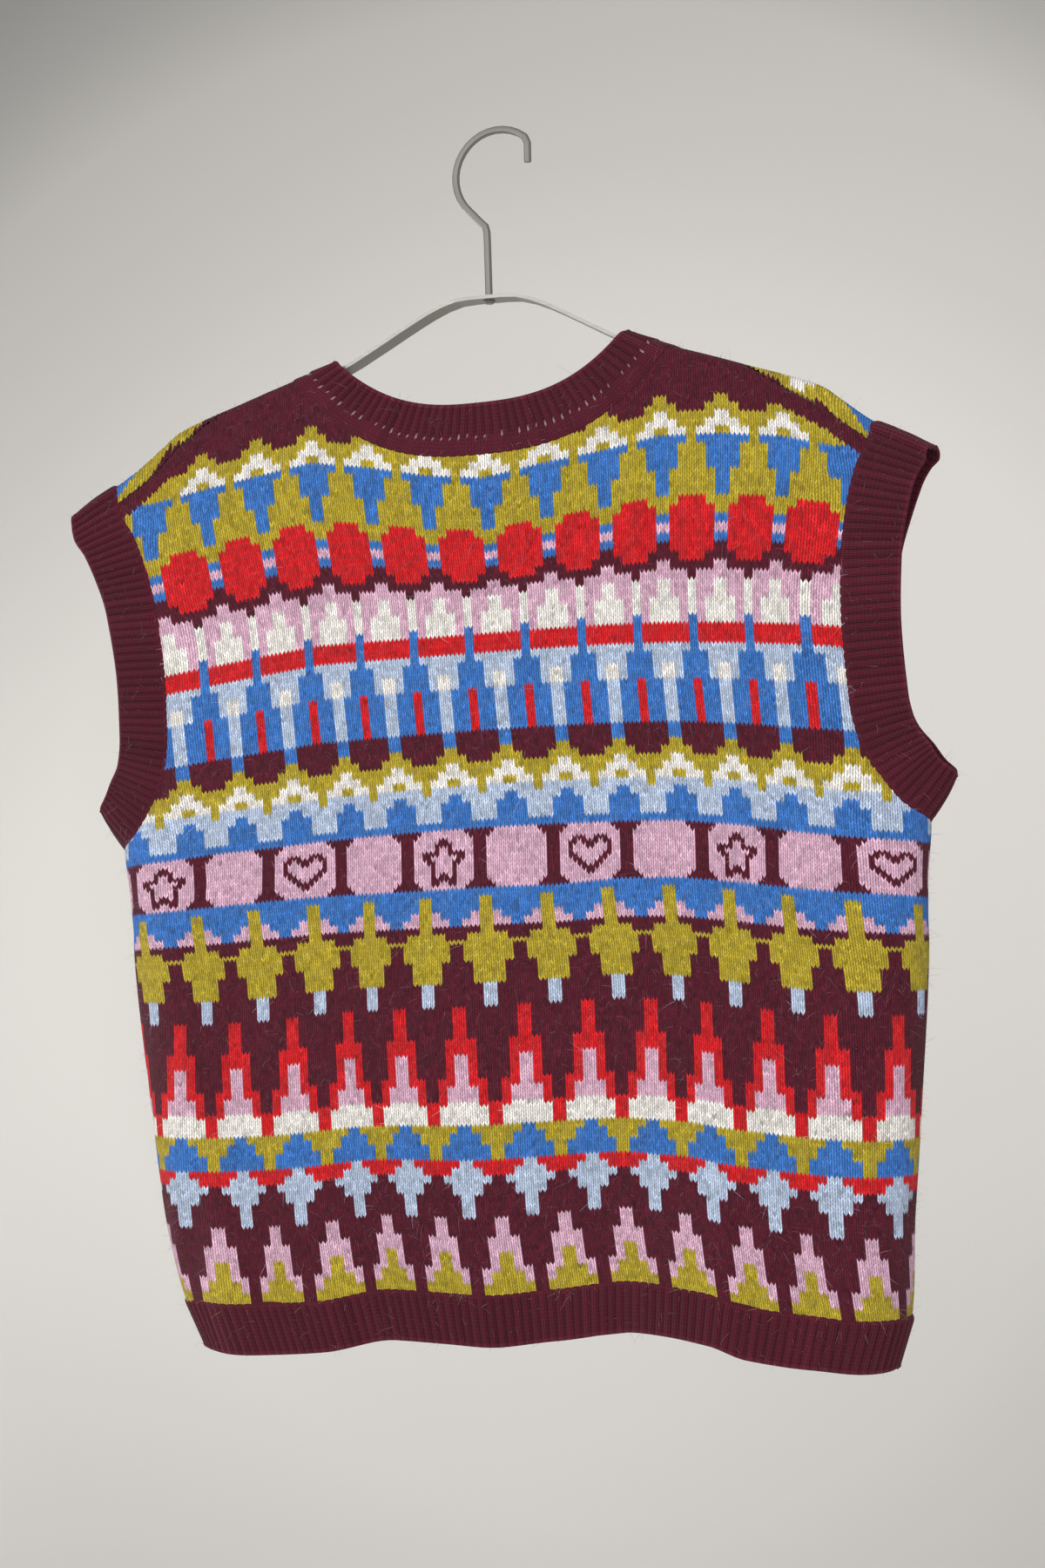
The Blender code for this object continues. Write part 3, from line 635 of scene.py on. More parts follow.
def body(height, column):
    return smooth(height, BODY["height"], BODY[column])


def round_arc(height):
    """How much cloth one rounded side takes, from where it leaves the flat to the side seam."""
    run, depth = body(height, "round_run"), body(height, "half_depth")
    return math.pi / 2 * np.sqrt((run**2 + depth**2) / 2)


def across_of(out, height):
    """The place across of a point that lies `out` from the centre line, as the body is seen."""
    width, run = body(height, "half_width"), body(height, "round_run")
    turn = np.arcsin(np.clip((out - (width - run)) / run, 0, 1))
    return np.minimum(out, width - run) + turn / (math.pi / 2) * round_arc(height)


def side_seam(height):
    return body(height, "half_width") - body(height, "round_run") + round_arc(height)


def folds(side, out, height):
    """How far the folds move the cloth away from the middle plane."""
    moved = np.zeros_like(out)
    for place, lean, depth, half_width, top in FOLDS[side]:
        middle = place * MM + lean / 100 * (height - HEM_EDGE)
        spread = np.exp(-(((out - middle) / (half_width * MM)) ** 2))
        moved += depth * MM * spread * ease((top * MM - height) / (top * MM - HEM_EDGE))
    return moved


def placed(out, height):
    """World x and z of a place in the cloth's own frame, before the cloth turns over the ridge."""
    slipped = ease((height - UNDERARM) / (SLIP_FROM - UNDERARM))
    slip = SHOULDER_SLIP * (out / SHOULDER_END) ** 2 * slipped
    slip = slip + HEM_SLIP * ease((HEM_SLIP_FROM - height) / (HEM_SLIP_FROM - HEM_EDGE))
    x = NECK_PLACE[0] + out * math.cos(TILT) - height * math.sin(TILT) + slip
    return x, NECK_PLACE[1] + height * math.cos(TILT) + out * math.sin(TILT)


def down_from_ridge(out, height):
    x, level = placed(out, height)
    return ridge_height(x) + RIDGE_ARC[-1] - TOP_DROP - level


def ridge_at(out):
    """The height, in the cloth's own frame, at which the cloth reaches the ridge of the shoulders."""
    height = np.zeros_like(np.asarray(out, float))
    for _ in range(RIDGE_ROUNDS):
        height = height + down_from_ridge(out, height)
    return height


def surface(side, across, height):
    """Points of the middle of the cloth. What goes higher than the ridge comes down on the other side."""
    across, height = np.broadcast_arrays(np.asarray(across, float), np.asarray(height, float))
    width, run = body(height, "half_width"), body(height, "round_run")
    turn = np.maximum((np.abs(across) - (width - run)) / round_arc(height), 0) * math.pi / 2
    out = np.sign(across) * (np.minimum(np.abs(across), width - run) + run * np.sin(turn))
    open_share = body(height, "open_share")
    rounding = open_share + (1 - open_share) * np.cos(turn)

    over = height - ridge_at(out)
    height = height - 2 * np.maximum(over, 0)
    facing = np.where(over > 0, -side, side)

    x, level = placed(out, height)
    if side == FRONT:
        slipped = np.clip((height - SLIP_FROM) / (UNDERARM - SLIP_FROM), 0, 1)
        x = x + FRONT_SLIP * np.sin(np.pi * slipped) ** 2
    lift = smooth(out, HEM_LIFT["across"], HEM_LIFT["lift"]) * (1 if side == BACK else FRONT_LIFT_SHARE)
    level = level + lift * ease((HEM_LIFT_FROM - height) / (HEM_LIFT_FROM - HEM_EDGE))
    ridge = ridge_height(x)
    share, drop = over_ridge(ridge + RIDGE_ARC[-1] - TOP_DROP - level)
    depth = body(height, "half_depth") * rounding * share + folds(side, out, height) * np.cos(turn)
    return np.stack([x, facing * depth, ridge - drop], -1)


def surface_normal(side, across, height):
    """Directions out of the cloth, at the same places."""
    rightwards = surface(side, across + NORMAL_STEP, height) - surface(side, across - NORMAL_STEP, height)
    upwards = surface(side, across, height + NORMAL_STEP) - surface(side, across, height - NORMAL_STEP)
    return unit(np.cross(rightwards, upwards)) * -side


def creases(side, across, height):
    """How far the small creases move the cloth outwards."""
    moved = np.zeros_like(across)
    for place, level, way, half_length, half_width, depth in CREASES[side]:
        turn = math.radians(way)
        right, up = across - place * MM, height - level * MM
        run = (right * math.cos(turn) + up * math.sin(turn)) / (half_length * MM)
        off = (up * math.cos(turn) - right * math.sin(turn)) / (half_width * MM)
        moved += depth * MM * np.exp(-(run**2) - (off + CREASE_WAVER * np.sin(2 * run)) ** 2)
    return moved


def cloth(side, across, height, off):
    """Points of the cloth's face or inside, which lie `off` from its middle."""
    off = off + creases(side, across, height)
    return surface(side, across, height) + surface_normal(side, across, height) * off[..., None]


def lengths_along(points):
    """The distance along a line to each of its points."""
    return np.concatenate([[0], np.cumsum(np.linalg.norm(np.diff(points, axis=0), axis=1))])


def along(points, shares):
    """Points at equal shares of the length of a line through the given ones, whatever their number of
    coordinates, bending evenly where the line does."""
    points = np.asarray(points, float)
    length = lengths_along(points)
    at = np.asarray(shares) * length[-1]
    return np.stack([smooth(at, length, points[:, i]) for i in range(points.shape[1])], -1)


def neck_curve(side, signed_share, half_width, drop):
    """A neckline: across and height at shares of its half width, from -1 on the left to 1 on the right."""
    top = ridge_at(np.sign(signed_share) * half_width)
    height = -drop + (top + drop) * np.abs(signed_share) ** NECK_CURVE[side]
    return half_width * signed_share, height


def shoulder_seam(side, hand):
    """The seam from the neck point to the shoulder's end: across and height."""
    out = np.linspace(SHOULDER_SEAM_FROM, SHOULDER_SEAM_AT, SHOULDER_POINTS)
    set_back = ease(SET_BACK_PACE * (out - SHOULDER_SEAM_FROM) / (SHOULDER_SEAM_AT - SHOULDER_SEAM_FROM))
    seam = ridge_at(hand * out) + side * SHOULDER_SEAM_SET_BACK * set_back
    return across_of(out, seam), seam


def armhole_seam(side, hand, shares):
    """The seam from the underarm up to the shoulder's end: across, without its hand, and height."""
    shoulder = np.stack(shoulder_seam(side, hand), -1)[-1]
    lower = [place for place in ARMHOLE[::-1] if place[1] * MM < shoulder[1] - SHOULDER_CLEARANCE]
    places = np.array(lower) * MM
    places[:, 0] = across_of(places[:, 0], places[:, 1])
    underarm = (side_seam(UNDERARM), UNDERARM)
    return along(np.concatenate([[underarm], places, [shoulder]]), shares)


def between_rows(rows, places, across, height):
    """Reads a table whose rows fall in height, evenly from row to row and along each."""
    heights = np.array([row[0] for row in rows][::-1]) * MM
    read = [np.interp(across, np.array(places) * MM, np.array(row[1]) * MM) for row in rows[::-1]]
    level = np.clip(np.searchsorted(heights, height) - 1, 0, len(heights) - 2)
    share = ease((height - heights[level]) / (heights[level + 1] - heights[level]))
    read = np.stack(read)
    low = np.take_along_axis(read, level[None], 0)[0]
    high = np.take_along_axis(read, level[None] + 1, 0)[0]
    return low + (high - low) * share


def stitch_places(sizes, side, column, row):
    """Across and height of places in the knitting, in half stitches from the centre line and in rows."""
    upper, lower = np.minimum(row, BOX_ROW), np.maximum(row - BOX_ROW, 0)
    even = CHART_TOP - upper * sizes.upper_row - lower * sizes.lower_row
    across = column * sizes.stitch_width / 2
    across = across + between_rows(WALE_SHIFT, WALE_PLACES, across, even)
    height = even + between_rows(ROW_LIFT, ROW_PLACES, across, even)
    if side == FRONT:
        risen = np.maximum((even - FRONT_RISE_FROM) / (CHART_TOP - FRONT_RISE_FROM), 0)
        across = across * (1 + FRONT_SPREAD * risen)
        height = height + FRONT_RISE * risen
    return across, height


def repeat(chart, stitch, row, middle, width):
    """The letters of a chart at some stitches and rows, by the distance from the middle of its repeat."""
    lines = np.repeat([line for _, line in chart], [count for count, _ in chart])
    letters = np.array([list(line) for line in lines])
    distance = np.abs((stitch - middle + width // 2) % width - width // 2)
    return letters[np.clip(row, 0, len(letters) - 1), np.clip(distance, 0, letters.shape[1] - 1)]


def motif(rows, stitch, row, middle, first_row):
    """Where a motif's own stitches lie, round a middle."""
    drawn = np.array([[mark == "#" for mark in line] for line in rows])
    height, width = drawn.shape
    across, down = stitch - middle + (width - 1) // 2, row - first_row
    inside = (across >= 0) & (across < width) & (down >= 0) & (down < height)
    return inside & drawn[np.clip(down, 0, height - 1), np.clip(across, 0, width - 1)]


def charted(stitch, row):
    """The letter of the yarn of each stitch."""
    letters = np.full(stitch.shape, "p")
    for first, last, chart, middle, width in ZONES:
        here = (row >= first) & (row < last)
        letters[here] = repeat(chart, stitch[here], row[here] - first, middle, width)
    letters[(np.abs(stitch) > LAST_WHOLE_TOP) & (row < TOP_ROWS) & (letters == "i")] = "o"
    box = (stitch + BOX_WIDTH // 2) // BOX_WIDTH
    for kind, rows, first in MOTIFS:
        letters[(box % 4 == kind) & motif(rows, stitch, row, box * BOX_WIDTH, first)] = "p"
    return letters


def mesh_object(name, bm, material):
    """An object made of a finished bmesh."""
    mesh = bpy.data.meshes.new(name)
    bm.to_mesh(mesh)
    bm.free()
    mesh.materials.append(material)
    made = bpy.data.objects.new(name, mesh)
    bpy.context.scene.collection.objects.link(made)
    return made


def new_piece(name, bm, material, nodes):
    """A finished piece from a bmesh, which rides on the one body and stands for its solids."""
    piece = mesh_object(name, bm, material)
    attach(piece, "root")
    if nodes:
        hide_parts(*nodes)
    return piece


def read_values(items, name, width=1, kind=float):
    """One property of all the points, corners or faces of a mesh."""
    values = np.empty(len(items) * width, kind)
    items.foreach_get(name, values)
    return values.reshape(-1, width) if width > 1 else values


def points_of(mesh):
    return read_values(mesh.vertices, "co", 3)


def corners_of(mesh):
    """The vertex of each corner of each face."""
    return read_values(mesh.loops, "vertex_index", kind=int)


def set_map(mesh, name, places):
    """A named UV map from a place for each corner."""
    layer = mesh.uv_layers.new(name=name)
    layer.uv.foreach_set("vector", np.ascontiguousarray(places, np.float32).ravel())


def set_tones(mesh, tones, domain):
    """The yarn's colour at each corner or point."""
    attribute = mesh.color_attributes.new("yarn", "FLOAT_COLOR", domain)
    full = np.concatenate([tones, np.ones((len(tones), 1))], 1)
    attribute.data.foreach_set("color", np.ascontiguousarray(full, np.float32).ravel())


def knit_grid(bm, columns, rows, corner, span, layer):
    """A grid whose points hold their column, their row and their layer, to be laid out later."""
    made = bmesh.ops.create_grid(bm, x_segments=columns, y_segments=rows, size=0.5)["verts"]
    bmesh.ops.scale(bm, vec=(*span, 1), verts=made)
    middle = (corner[0] + span[0] / 2, corner[1] + span[1] / 2, layer)
    bmesh.ops.translate(bm, vec=middle, verts=made)
    return made


def panel_outline(side, across, height):
    """How far places lie outside a panel's neckline or armholes, and where the seams stop the others."""
    hand = np.where(across < 0, LEFT, RIGHT)
    out = np.abs(across)
    at_neck = out < NECK_SEAM_HALF_WIDTH
    share = np.clip(out / NECK_SEAM_HALF_WIDTH, 0, 1) * hand
    _, line = neck_curve(side, share, NECK_SEAM_HALF_WIDTH, NECK_SEAM_DROP[side])
    neck_height = np.where(at_neck, line, np.inf)
    armhole = np.empty(across.shape)
    seam_height = np.empty(across.shape)
    for seam_hand in (LEFT, RIGHT):
        here = hand == seam_hand
        edge = armhole_seam(side, seam_hand, np.linspace(0, 1, EDGE_POINTS))
        armhole[here] = np.interp(height[here], edge[:, 1], edge[:, 0])
        seam_across, seam = shoulder_seam(side, seam_hand)
        seam_height[here] = np.interp(out[here], seam_across, seam)
    seam_height[at_neck] = np.inf
    outside = np.maximum(height - neck_height, np.where(height > UNDERARM, out - armhole, -np.inf))
    held_height = np.minimum(height, seam_height)
    held_out = np.where(height <= UNDERARM, np.minimum(out, side_seam(height)), out)
    past_seam = (held_height < height) | (held_out < out)
    return outside, past_seam, held_out * hand, held_height


def near_back_seam(across, height):
    """Whether places on the back lie in the plain strip along a shoulder seam."""
    near = np.zeros(across.shape, bool)
    for hand in (LEFT, RIGHT):
        seam_across, seam = shoulder_seam(BACK, hand)
        line = np.interp(across * hand, seam_across, seam, left=np.inf)
        near |= (across * hand > 0) & (height > line - SEAM_STRIP)
    return near


def trim_panel(bm, side, sizes, layer):
    """Takes away the faces of one layer that lie outside the panel."""
    verts = [vert for vert in bm.verts if vert.co.z == layer]
    places = np.array([tuple(vert.co) for vert in verts])
    across, height = stitch_places(sizes, side, places[:, 0], -places[:, 1])
    outside, past_seam, _, _ = panel_outline(side, across, height)
    gone = outside > UNDERLAP
    kept = [vert for vert, is_gone in zip(verts, gone) if not is_gone]
    past = {vert for vert, is_past in zip(verts, past_seam & ~gone) if is_past}
    bmesh.ops.delete(bm, geom=[vert for vert, is_gone in zip(verts, gone) if is_gone], context="VERTS")
    faces = {face for vert in kept for face in vert.link_faces if all(v in past for v in face.verts)}
    bmesh.ops.delete(bm, geom=list(faces), context="FACES")
    loose = [vert for vert in past if vert.is_valid and not vert.link_faces]
    bmesh.ops.delete(bm, geom=loose, context="VERTS")


def stitch_tones(side, sizes, yarns, middles):
    """The tone of each face of a panel, from the column, row and layer of its middle."""
    stitch = np.floor((middles[:, 0] + 1) / 2).astype(int)
    row = np.floor(-middles[:, 1]).astype(int)
    letters = charted(stitch, row)
    if side == BACK:
        letters[near_back_seam(*stitch_places(sizes, side, middles[:, 0], -middles[:, 1]))] = "p"
    tones = yarns.tones()[[YARN_LETTERS.index(letter) for letter in letters]]
    seeded = np.random.default_rng(11 + side)
    jitter = seeded.normal(1, STITCH_JITTER, (2 * HALF_COLUMNS, LAST_ROW - FIRST_ROW + 4))
    for column in (stitch, np.floor(middles[:, 0]).astype(int)):
        tones = tones * jitter[(column + HALF_COLUMNS) % (2 * HALF_COLUMNS), row - FIRST_ROW][:, None]
    inner = middles[:, 2] < 0
    own_share, mean_share = INSIDE_TONE
    tones[inner] = tones[inner] * own_share + tones[inner].mean(axis=0) * mean_share
    return tones


def knit_panel(name, side, node, sizes, yarns, material):
    """A panel in its charted stitches, two columns of faces to a stitch, with a plain inside."""
    bm = bmesh.new()
    rows = LAST_ROW - FIRST_ROW
    corner, span = (-HALF_COLUMNS, -LAST_ROW), (2 * HALF_COLUMNS, rows)
    knit_grid(bm, 2 * HALF_COLUMNS, rows, corner, span, FACE)
    inside = knit_grid(bm, 2 * HALF_COLUMNS // INSIDE_STEP, rows // 2, corner, span, INSIDE)
    bmesh.ops.reverse_faces(bm, faces=list({face for vert in inside for face in vert.link_faces}))
    trim_panel(bm, side, sizes, FACE)
    trim_panel(bm, side, sizes, INSIDE)
    if side == FRONT:
        bmesh.ops.reverse_faces(bm, faces=bm.faces)
    piece = new_piece(name, bm, material, [node])
    mesh = piece.data
    knitted = points_of(mesh)
    column, row, layer = knitted[:, 0], -knitted[:, 1], knitted[:, 2]
    on_face = layer > 0

    corners = corners_of(mesh)
    set_map(mesh, "stitches", np.stack([(column + 1) / 2, -row], -1)[corners])
    share = np.stack([(column + HALF_COLUMNS) / (2 * HALF_COLUMNS), (LAST_ROW - row) / rows], -1)
    face_bake, inside_bake = (share * size + start for size, start in (FACE_BAKE, INSIDE_BAKE))
    set_map(mesh, "OFBake", np.where(on_face[:, None], face_bake, inside_bake)[corners])

    first = read_values(mesh.polygons, "loop_start", kind=int)
    counts = np.diff(np.append(first, len(corners)))
    middles = np.add.reduceat(knitted[corners], first) / counts[:, None]
    set_tones(mesh, np.repeat(stitch_tones(side, sizes, yarns, middles), counts, axis=0), "CORNER")

    dipped = row + np.where(on_face & (np.round(column) % 2 == 0), sizes.stitch_dip, 0)
    across, height = stitch_places(sizes, side, column, dipped)
    _, _, across, height = panel_outline(side, across, height)
    points = cloth(side, across, height, sizes.half_wall * layer)
    mesh.vertices.foreach_set("co", points.ravel())
    mesh.shade_smooth()
    mesh.update()

    return piece


def rounded_rib(phase):
    """How far a rib stands out over its width, from its valley (0) over its crest (0.5) to the next."""
    return np.abs(np.sin(math.pi * phase)) ** RIB_SQUARENESS


def band_face(sizes, distance, width, strip, rib, row):
    """How far out a band's face lies, and how far up its rolled rim each place is."""
    if strip:
        risen = ease((distance - strip) / RIB_RISE)
        plain = ease((strip - distance) / STRIP_FALL)
    else:
        risen = ease((distance + SEAM_LEAD) / SEAM_RISE)
        plain = 0
    ribbed = risen * ease((width - distance) / RIB_FALL)
    rolled = ease((distance - width + RIM_DEPTH) / RIM_RISE)
    face = VALLEY_FACE + sizes.rib_relief * (ribbed * rib + STRIP_SHARE * plain + RIM_SHARE * rolled)
    tucked = np.where(row == -TUCK_ROWS, TUCK_END, TUCK_FACE + TUCK_SHARE * sizes.rib_relief * rib)
    return np.where(row < 0, tucked, face), rolled


def band_tones(sizes, tone, distance, strip, rib, rolled, column, row):
    """The tone at each place of a band: painted shade in the valleys, uneven from rib to rib, a painted
    highlight on the rolled rim, and light at the small holes beside a plain strip."""
    columns = column.max()
    on_face = row >= 0
    # painted shade in the valleys between the ribs
    shade = PAINTED_VALLEY_SHADE + PAINTED_RIB_SHADE * np.where((distance > strip) & on_face, rib, 1)
    seeded = np.random.default_rng(columns)
    ribs = columns // sizes.rib_points
    shade = shade * seeded.normal(1, RIB_JITTER, ribs + 1)[column // sizes.rib_points]
    # painted highlight on the rolled rim
    shade = shade * (1 + PAINTED_RIM_HIGHLIGHT * rolled * on_face)
    tones = shade[:, None] * tone
    if strip:
        beside_strip = np.abs(distance - strip) < PINHOLE_REACH * sizes.band_row
        in_valley = column % sizes.rib_points == 0
        tones[beside_strip & in_valley & (seeded.random(len(column)) < PINHOLE_SHARE)] = PINHOLE
    return tones


def bend_band(name, near, edge, ribs, sizes, yarns, material, closed=True, strip=0, crown=0):
    """A strip of ribs between two lines of points. The lines give their places, the directions out and, for
    the near one, the way back under its panel. `strip` is the width that stays plain, and `crown` is how
    far the middle bulges."""
    (seam, seam_out, tuck), (rim, rim_out) = near, edge
    width = float(np.linalg.norm(rim - seam, axis=1).mean())
    rows = max(MIN_BAND_ROWS, round(width / sizes.band_row))
    all_rows = rows + TUCK_ROWS
    columns = ribs * sizes.rib_points
    bm = bmesh.new()
    knit_grid(bm, columns, all_rows, (0, -TUCK_ROWS), (columns, all_rows), 0)
    piece = new_piece(f"{name}_knit", bm, material, [name])
    mesh = piece.data
    grid = np.round(points_of(mesh)).astype(int)
    column, row = grid[:, 0], grid[:, 1]
    at = column % columns if closed else column

    share = np.clip(row / rows, 0, 1)[:, None]
    start = seam[at] + tuck[at] * (np.clip(-row, 0, TUCK_ROWS) / TUCK_ROWS * UNDERLAP)[:, None]
    middle = start + (rim[at] - seam[at]) * share
    out = unit(seam_out[at] * (1 - share) + rim_out[at] * share)
    distance = share[:, 0] * width
    phase = column / sizes.rib_points
    rib = rounded_rib(phase)
    face, rolled = band_face(sizes, distance, width, strip, rib, row)
    bulge = crown * np.sin(math.pi * share[:, 0])
    points = middle + out * (face + bulge + BAND_HALF_WALL)[:, None]
    mesh.vertices.foreach_set("co", points.ravel())

    corners = corners_of(mesh)
    stitch = 2 * phase + 0.5
    slant = 1 - np.abs(2 * (stitch % 1) - 1)
    level = -row * width / rows / sizes.upper_row + 0.5 * slant
    set_map(mesh, "stitches", np.stack([stitch, level], -1)[corners])
    bake = np.stack([column / columns, (row + TUCK_ROWS) / all_rows], -1) * 0.98 + 0.01
    set_map(mesh, "OFBake", bake[corners])
    tones = band_tones(sizes, np.array(yarns.plum), distance, strip, rib, rolled, column, row)
    set_tones(mesh, tones, "POINT")

    bm = bmesh.new()
    bm.from_mesh(mesh)
    if closed:
        bmesh.ops.remove_doubles(bm, verts=bm.verts, dist=0.01 * MM)
    if wrong_way(bm, out):
        bmesh.ops.reverse_faces(bm, faces=bm.faces)
    bm.to_mesh(mesh)
    bm.free()
    mesh.shade_smooth()
    wall = piece.modifiers.new("wall", "SOLIDIFY")
    wall.thickness = BAND_WALL
    wall.offset = -1
    return piece


def wrong_way(bm, out):
    """Whether a band's faces point to its inside."""
    bm.normal_update()
    bm.verts.ensure_lookup_table()
    some = [vert for vert in list(bm.verts)[:FACING_SAMPLE] if vert.index < len(out)]
    facing = sum(vert.normal.dot(out[vert.index]) for vert in some)
    return facing < 0


def face_lines(side, across, height):
    """The points of the cloth along a line and its directions out there."""
    return [surface(side, across, height), surface_normal(side, across, height)]


def spaced_ribs(sizes, middle, rings):
    """Reads dense rings at even places along their middle, with a whole number of ribs round it."""
    closed = np.concatenate([middle, middle[:1]])
    length = lengths_along(closed)
    ribs = round(length[-1] / sizes.rib_pitch)
    at = np.interp(np.linspace(0, length[-1], ribs * sizes.rib_points + 1), length, np.arange(len(closed)))
    low = np.clip(np.floor(at).astype(int), 0, len(middle) - 1)[:-1]
    share = (at[:-1] - low)[:, None]
    rings = [np.concatenate([ring, ring[:1]]) for ring in rings]
    return ribs, [ring[low] * (1 - share) + ring[low + 1] * share for ring in rings]


def tuck_way(seam, seam_out, edge, closed):
    """The way back from a seam into its panel, in the plane of the cloth."""
    padded = np.concatenate([seam[-1:], seam, seam[:1]]) if closed else seam
    run = np.gradient(padded, axis=0)
    way = unit(np.cross(run[1:-1] if closed else run, seam_out))
    return -way * np.sign((way * (edge - seam)).sum(axis=1, keepdims=True))


def knit_neckband(sizes, yarns, material):
    shares = np.linspace(-1, 1, NECK_POINTS)
    parts = []
    for side, order in ((BACK, 1), (FRONT, -1)):
        lines = []
        for half_width, drop in (
            (NECK_SEAM_HALF_WIDTH, NECK_SEAM_DROP[side]),
            (NECK_EDGE_HALF_WIDTH, NECK_EDGE_DROP[side]),
        ):
            lines += face_lines(side, *neck_curve(side, shares[::order], half_width, drop))
        parts.append([line[:-1] for line in lines])
    rings = [np.concatenate(pair) for pair in zip(*parts)]
    ribs, (seam, seam_out, rim, rim_out) = spaced_ribs(sizes, (rings[0] + rings[2]) / 2, rings)
    near = seam, unit(seam_out), tuck_way(seam, seam_out, rim, True)
    return bend_band(
        "neckband", near, (rim, unit(rim_out)), ribs, sizes, yarns, material, strip=NECK_STRIP
    )


def knit_armband(name, hand, sizes, yarns, material):
    halves = []
    for side, order in ((BACK, -1), (FRONT, 1)):
        line = armhole_seam(side, hand, np.linspace(0, 1, ARMHOLE_POINTS))[::order]
        halves.append([values[:-1] for values in face_lines(side, line[:, 0] * hand, line[:, 1])])
    rings = [np.concatenate(pair) for pair in zip(*halves)]
    ribs, (seam, seam_out) = spaced_ribs(sizes, rings[0], rings)
    seam_out = unit(seam_out)
    count = len(seam)
    top, underarm = int(np.argmax(seam[:, 2])), int(np.argmin(seam[:, 2]))
    way = np.interp((np.arange(count) - top) % count, (0, (underarm - top) % count, count), (0, 1, 0))
    read = {column: smooth(way, ARMBAND["way_share"], ARMBAND[column])[:, None] for column in ARMBAND}
    outwards = np.array((hand * math.cos(TILT), 0, hand * math.sin(TILT)))
    upwards = np.array((-math.sin(TILT), 0, math.cos(TILT)))
    rim = seam + unit(read["out_share"] * outwards + read["up_share"] * upwards) * read["width"]
    rim[:, 1] *= 1 + read["opening_share"][:, 0]
    rim_out = unit(np.cross(np.roll(rim, -1, axis=0) - np.roll(rim, 1, axis=0), rim - seam))
    rim_out *= np.sign((rim_out * seam_out).sum(axis=1, keepdims=True))
    near = seam, seam_out, tuck_way(seam, seam_out, rim, True)
    return bend_band(name, near, (rim, rim_out), ribs, sizes, yarns, material, crown=ARMBAND_CROWN)


def knit_hem_rib(name, side, sizes, yarns, material):
    ribs = round(2 * side_seam(HEM_SEAM) / sizes.rib_pitch)
    shares = np.linspace(-1, 1, ribs * sizes.rib_points + 1)
    seam, seam_out = face_lines(side, shares * side_seam(HEM_SEAM), HEM_SEAM)
    rim, rim_out = face_lines(side, shares * side_seam(HEM_EDGE), HEM_EDGE)
    near = seam, seam_out, tuck_way(seam, seam_out, rim, False)
    return bend_band(name, near, (rim, rim_out), ribs, sizes, yarns, material, closed=False)


KNITTED = (
    "back_panel_knit",
    "front_panel_knit",
    "neckband_knit",
    "armband_left_knit",
    "armband_right_knit",
    "hem_rib_back_knit",
    "hem_rib_front_knit",
)


def nap_places(mesh):
    """Where hairs can rise from a knitted piece: points, directions out and tones."""
    points = points_of(mesh)
    attribute = mesh.color_attributes["yarn"]
    tones = read_values(attribute.data, "color", 4, np.float32)[:, :3]
    if attribute.domain == "CORNER":
        at_points = np.zeros((len(points), 3))
        at_points[corners_of(mesh)] = tones
        tones = at_points
    return points, read_values(mesh.vertices, "normal", 3), tones


def raise_nap(sizes, material):
    """Loose ends of wool all over the cloth: narrow ribbons of two faces, cut from one grid."""
    meshes = [bpy.data.objects[name].data for name in KNITTED]
    places = [nap_places(mesh) for mesh in meshes]
    seeded = np.random.default_rng(5)
    areas = np.array([sum(poly.area for poly in mesh.polygons) for mesh in meshes])
    counts = (sizes.hairs * areas / areas.sum()).astype(int)
    picked = [seeded.integers(0, len(points), count) for (points, _, _), count in zip(places, counts)]
    root, out, tone = (
        np.concatenate([values[chosen] for values, chosen in zip(part, picked)]) for part in zip(*places)
    )
    count = len(root)
    bm = bmesh.new()
    knit_grid(bm, 2 * count - 1, 2, (0, 0), (2 * count - 1, 2), 0)
    between = [face for face in bm.faces if int(face.calc_center_median().x) % 2 == 1]
    bmesh.ops.delete(bm, geom=between, context="FACES_ONLY")
    bmesh.ops.delete(bm, geom=[edge for edge in bm.edges if not edge.link_faces], context="EDGES")
    piece = new_piece("wool_nap", bm, material, [])
    mesh = piece.data
    grid = np.round(points_of(mesh)).astype(int)
    hair, edge, step = grid[:, 0] // 2, grid[:, 0] % 2, grid[:, 1]

    loose = seeded.normal(0, 1, (count, 3))
    lying = unit(loose - (loose * out).sum(axis=1, keepdims=True) * out)
    stand = seeded.uniform(LEAST_STAND, 1.0, (count, 1)) ** STAND_POWER
    way = unit(lying + out * stand * HAIR_STAND)
    length = sizes.hair_length * seeded.lognormal(0, HAIR_LENGTHS, (count, 1))
    length = np.minimum(length, LONGEST_HAIR * sizes.hair_length)
    curl = seeded.normal(0, HAIR_CURL, (count, 3)) * length
    beside = unit(np.cross(way, out + 0.01))
    base = root + out * HAIR_ROOT
    middle = root + out * HAIR_RISE + way * length * HAIR_MIDDLE + curl * MIDDLE_CURL
    end = root + out * HAIR_END + way * length + curl
    end[:, 2] -= HAIR_DROOP * length[:, 0]
    half = sizes.hair_width / 2 * (1 - HAIR_TAPER * step / 2)
    points = np.stack([base, middle, end])[step, hair]
    points += beside[hair] * (np.where(edge == 1, half, -half))[:, None]
    mesh.vertices.foreach_set("co", points.ravel())
    pale = seeded.uniform(*HAIR_PALENESS, (count, 1))
    set_tones(mesh, (tone * (1 - pale) + np.array(PALE_HAIR) * pale)[hair], "POINT")
    mesh.update()
    return piece


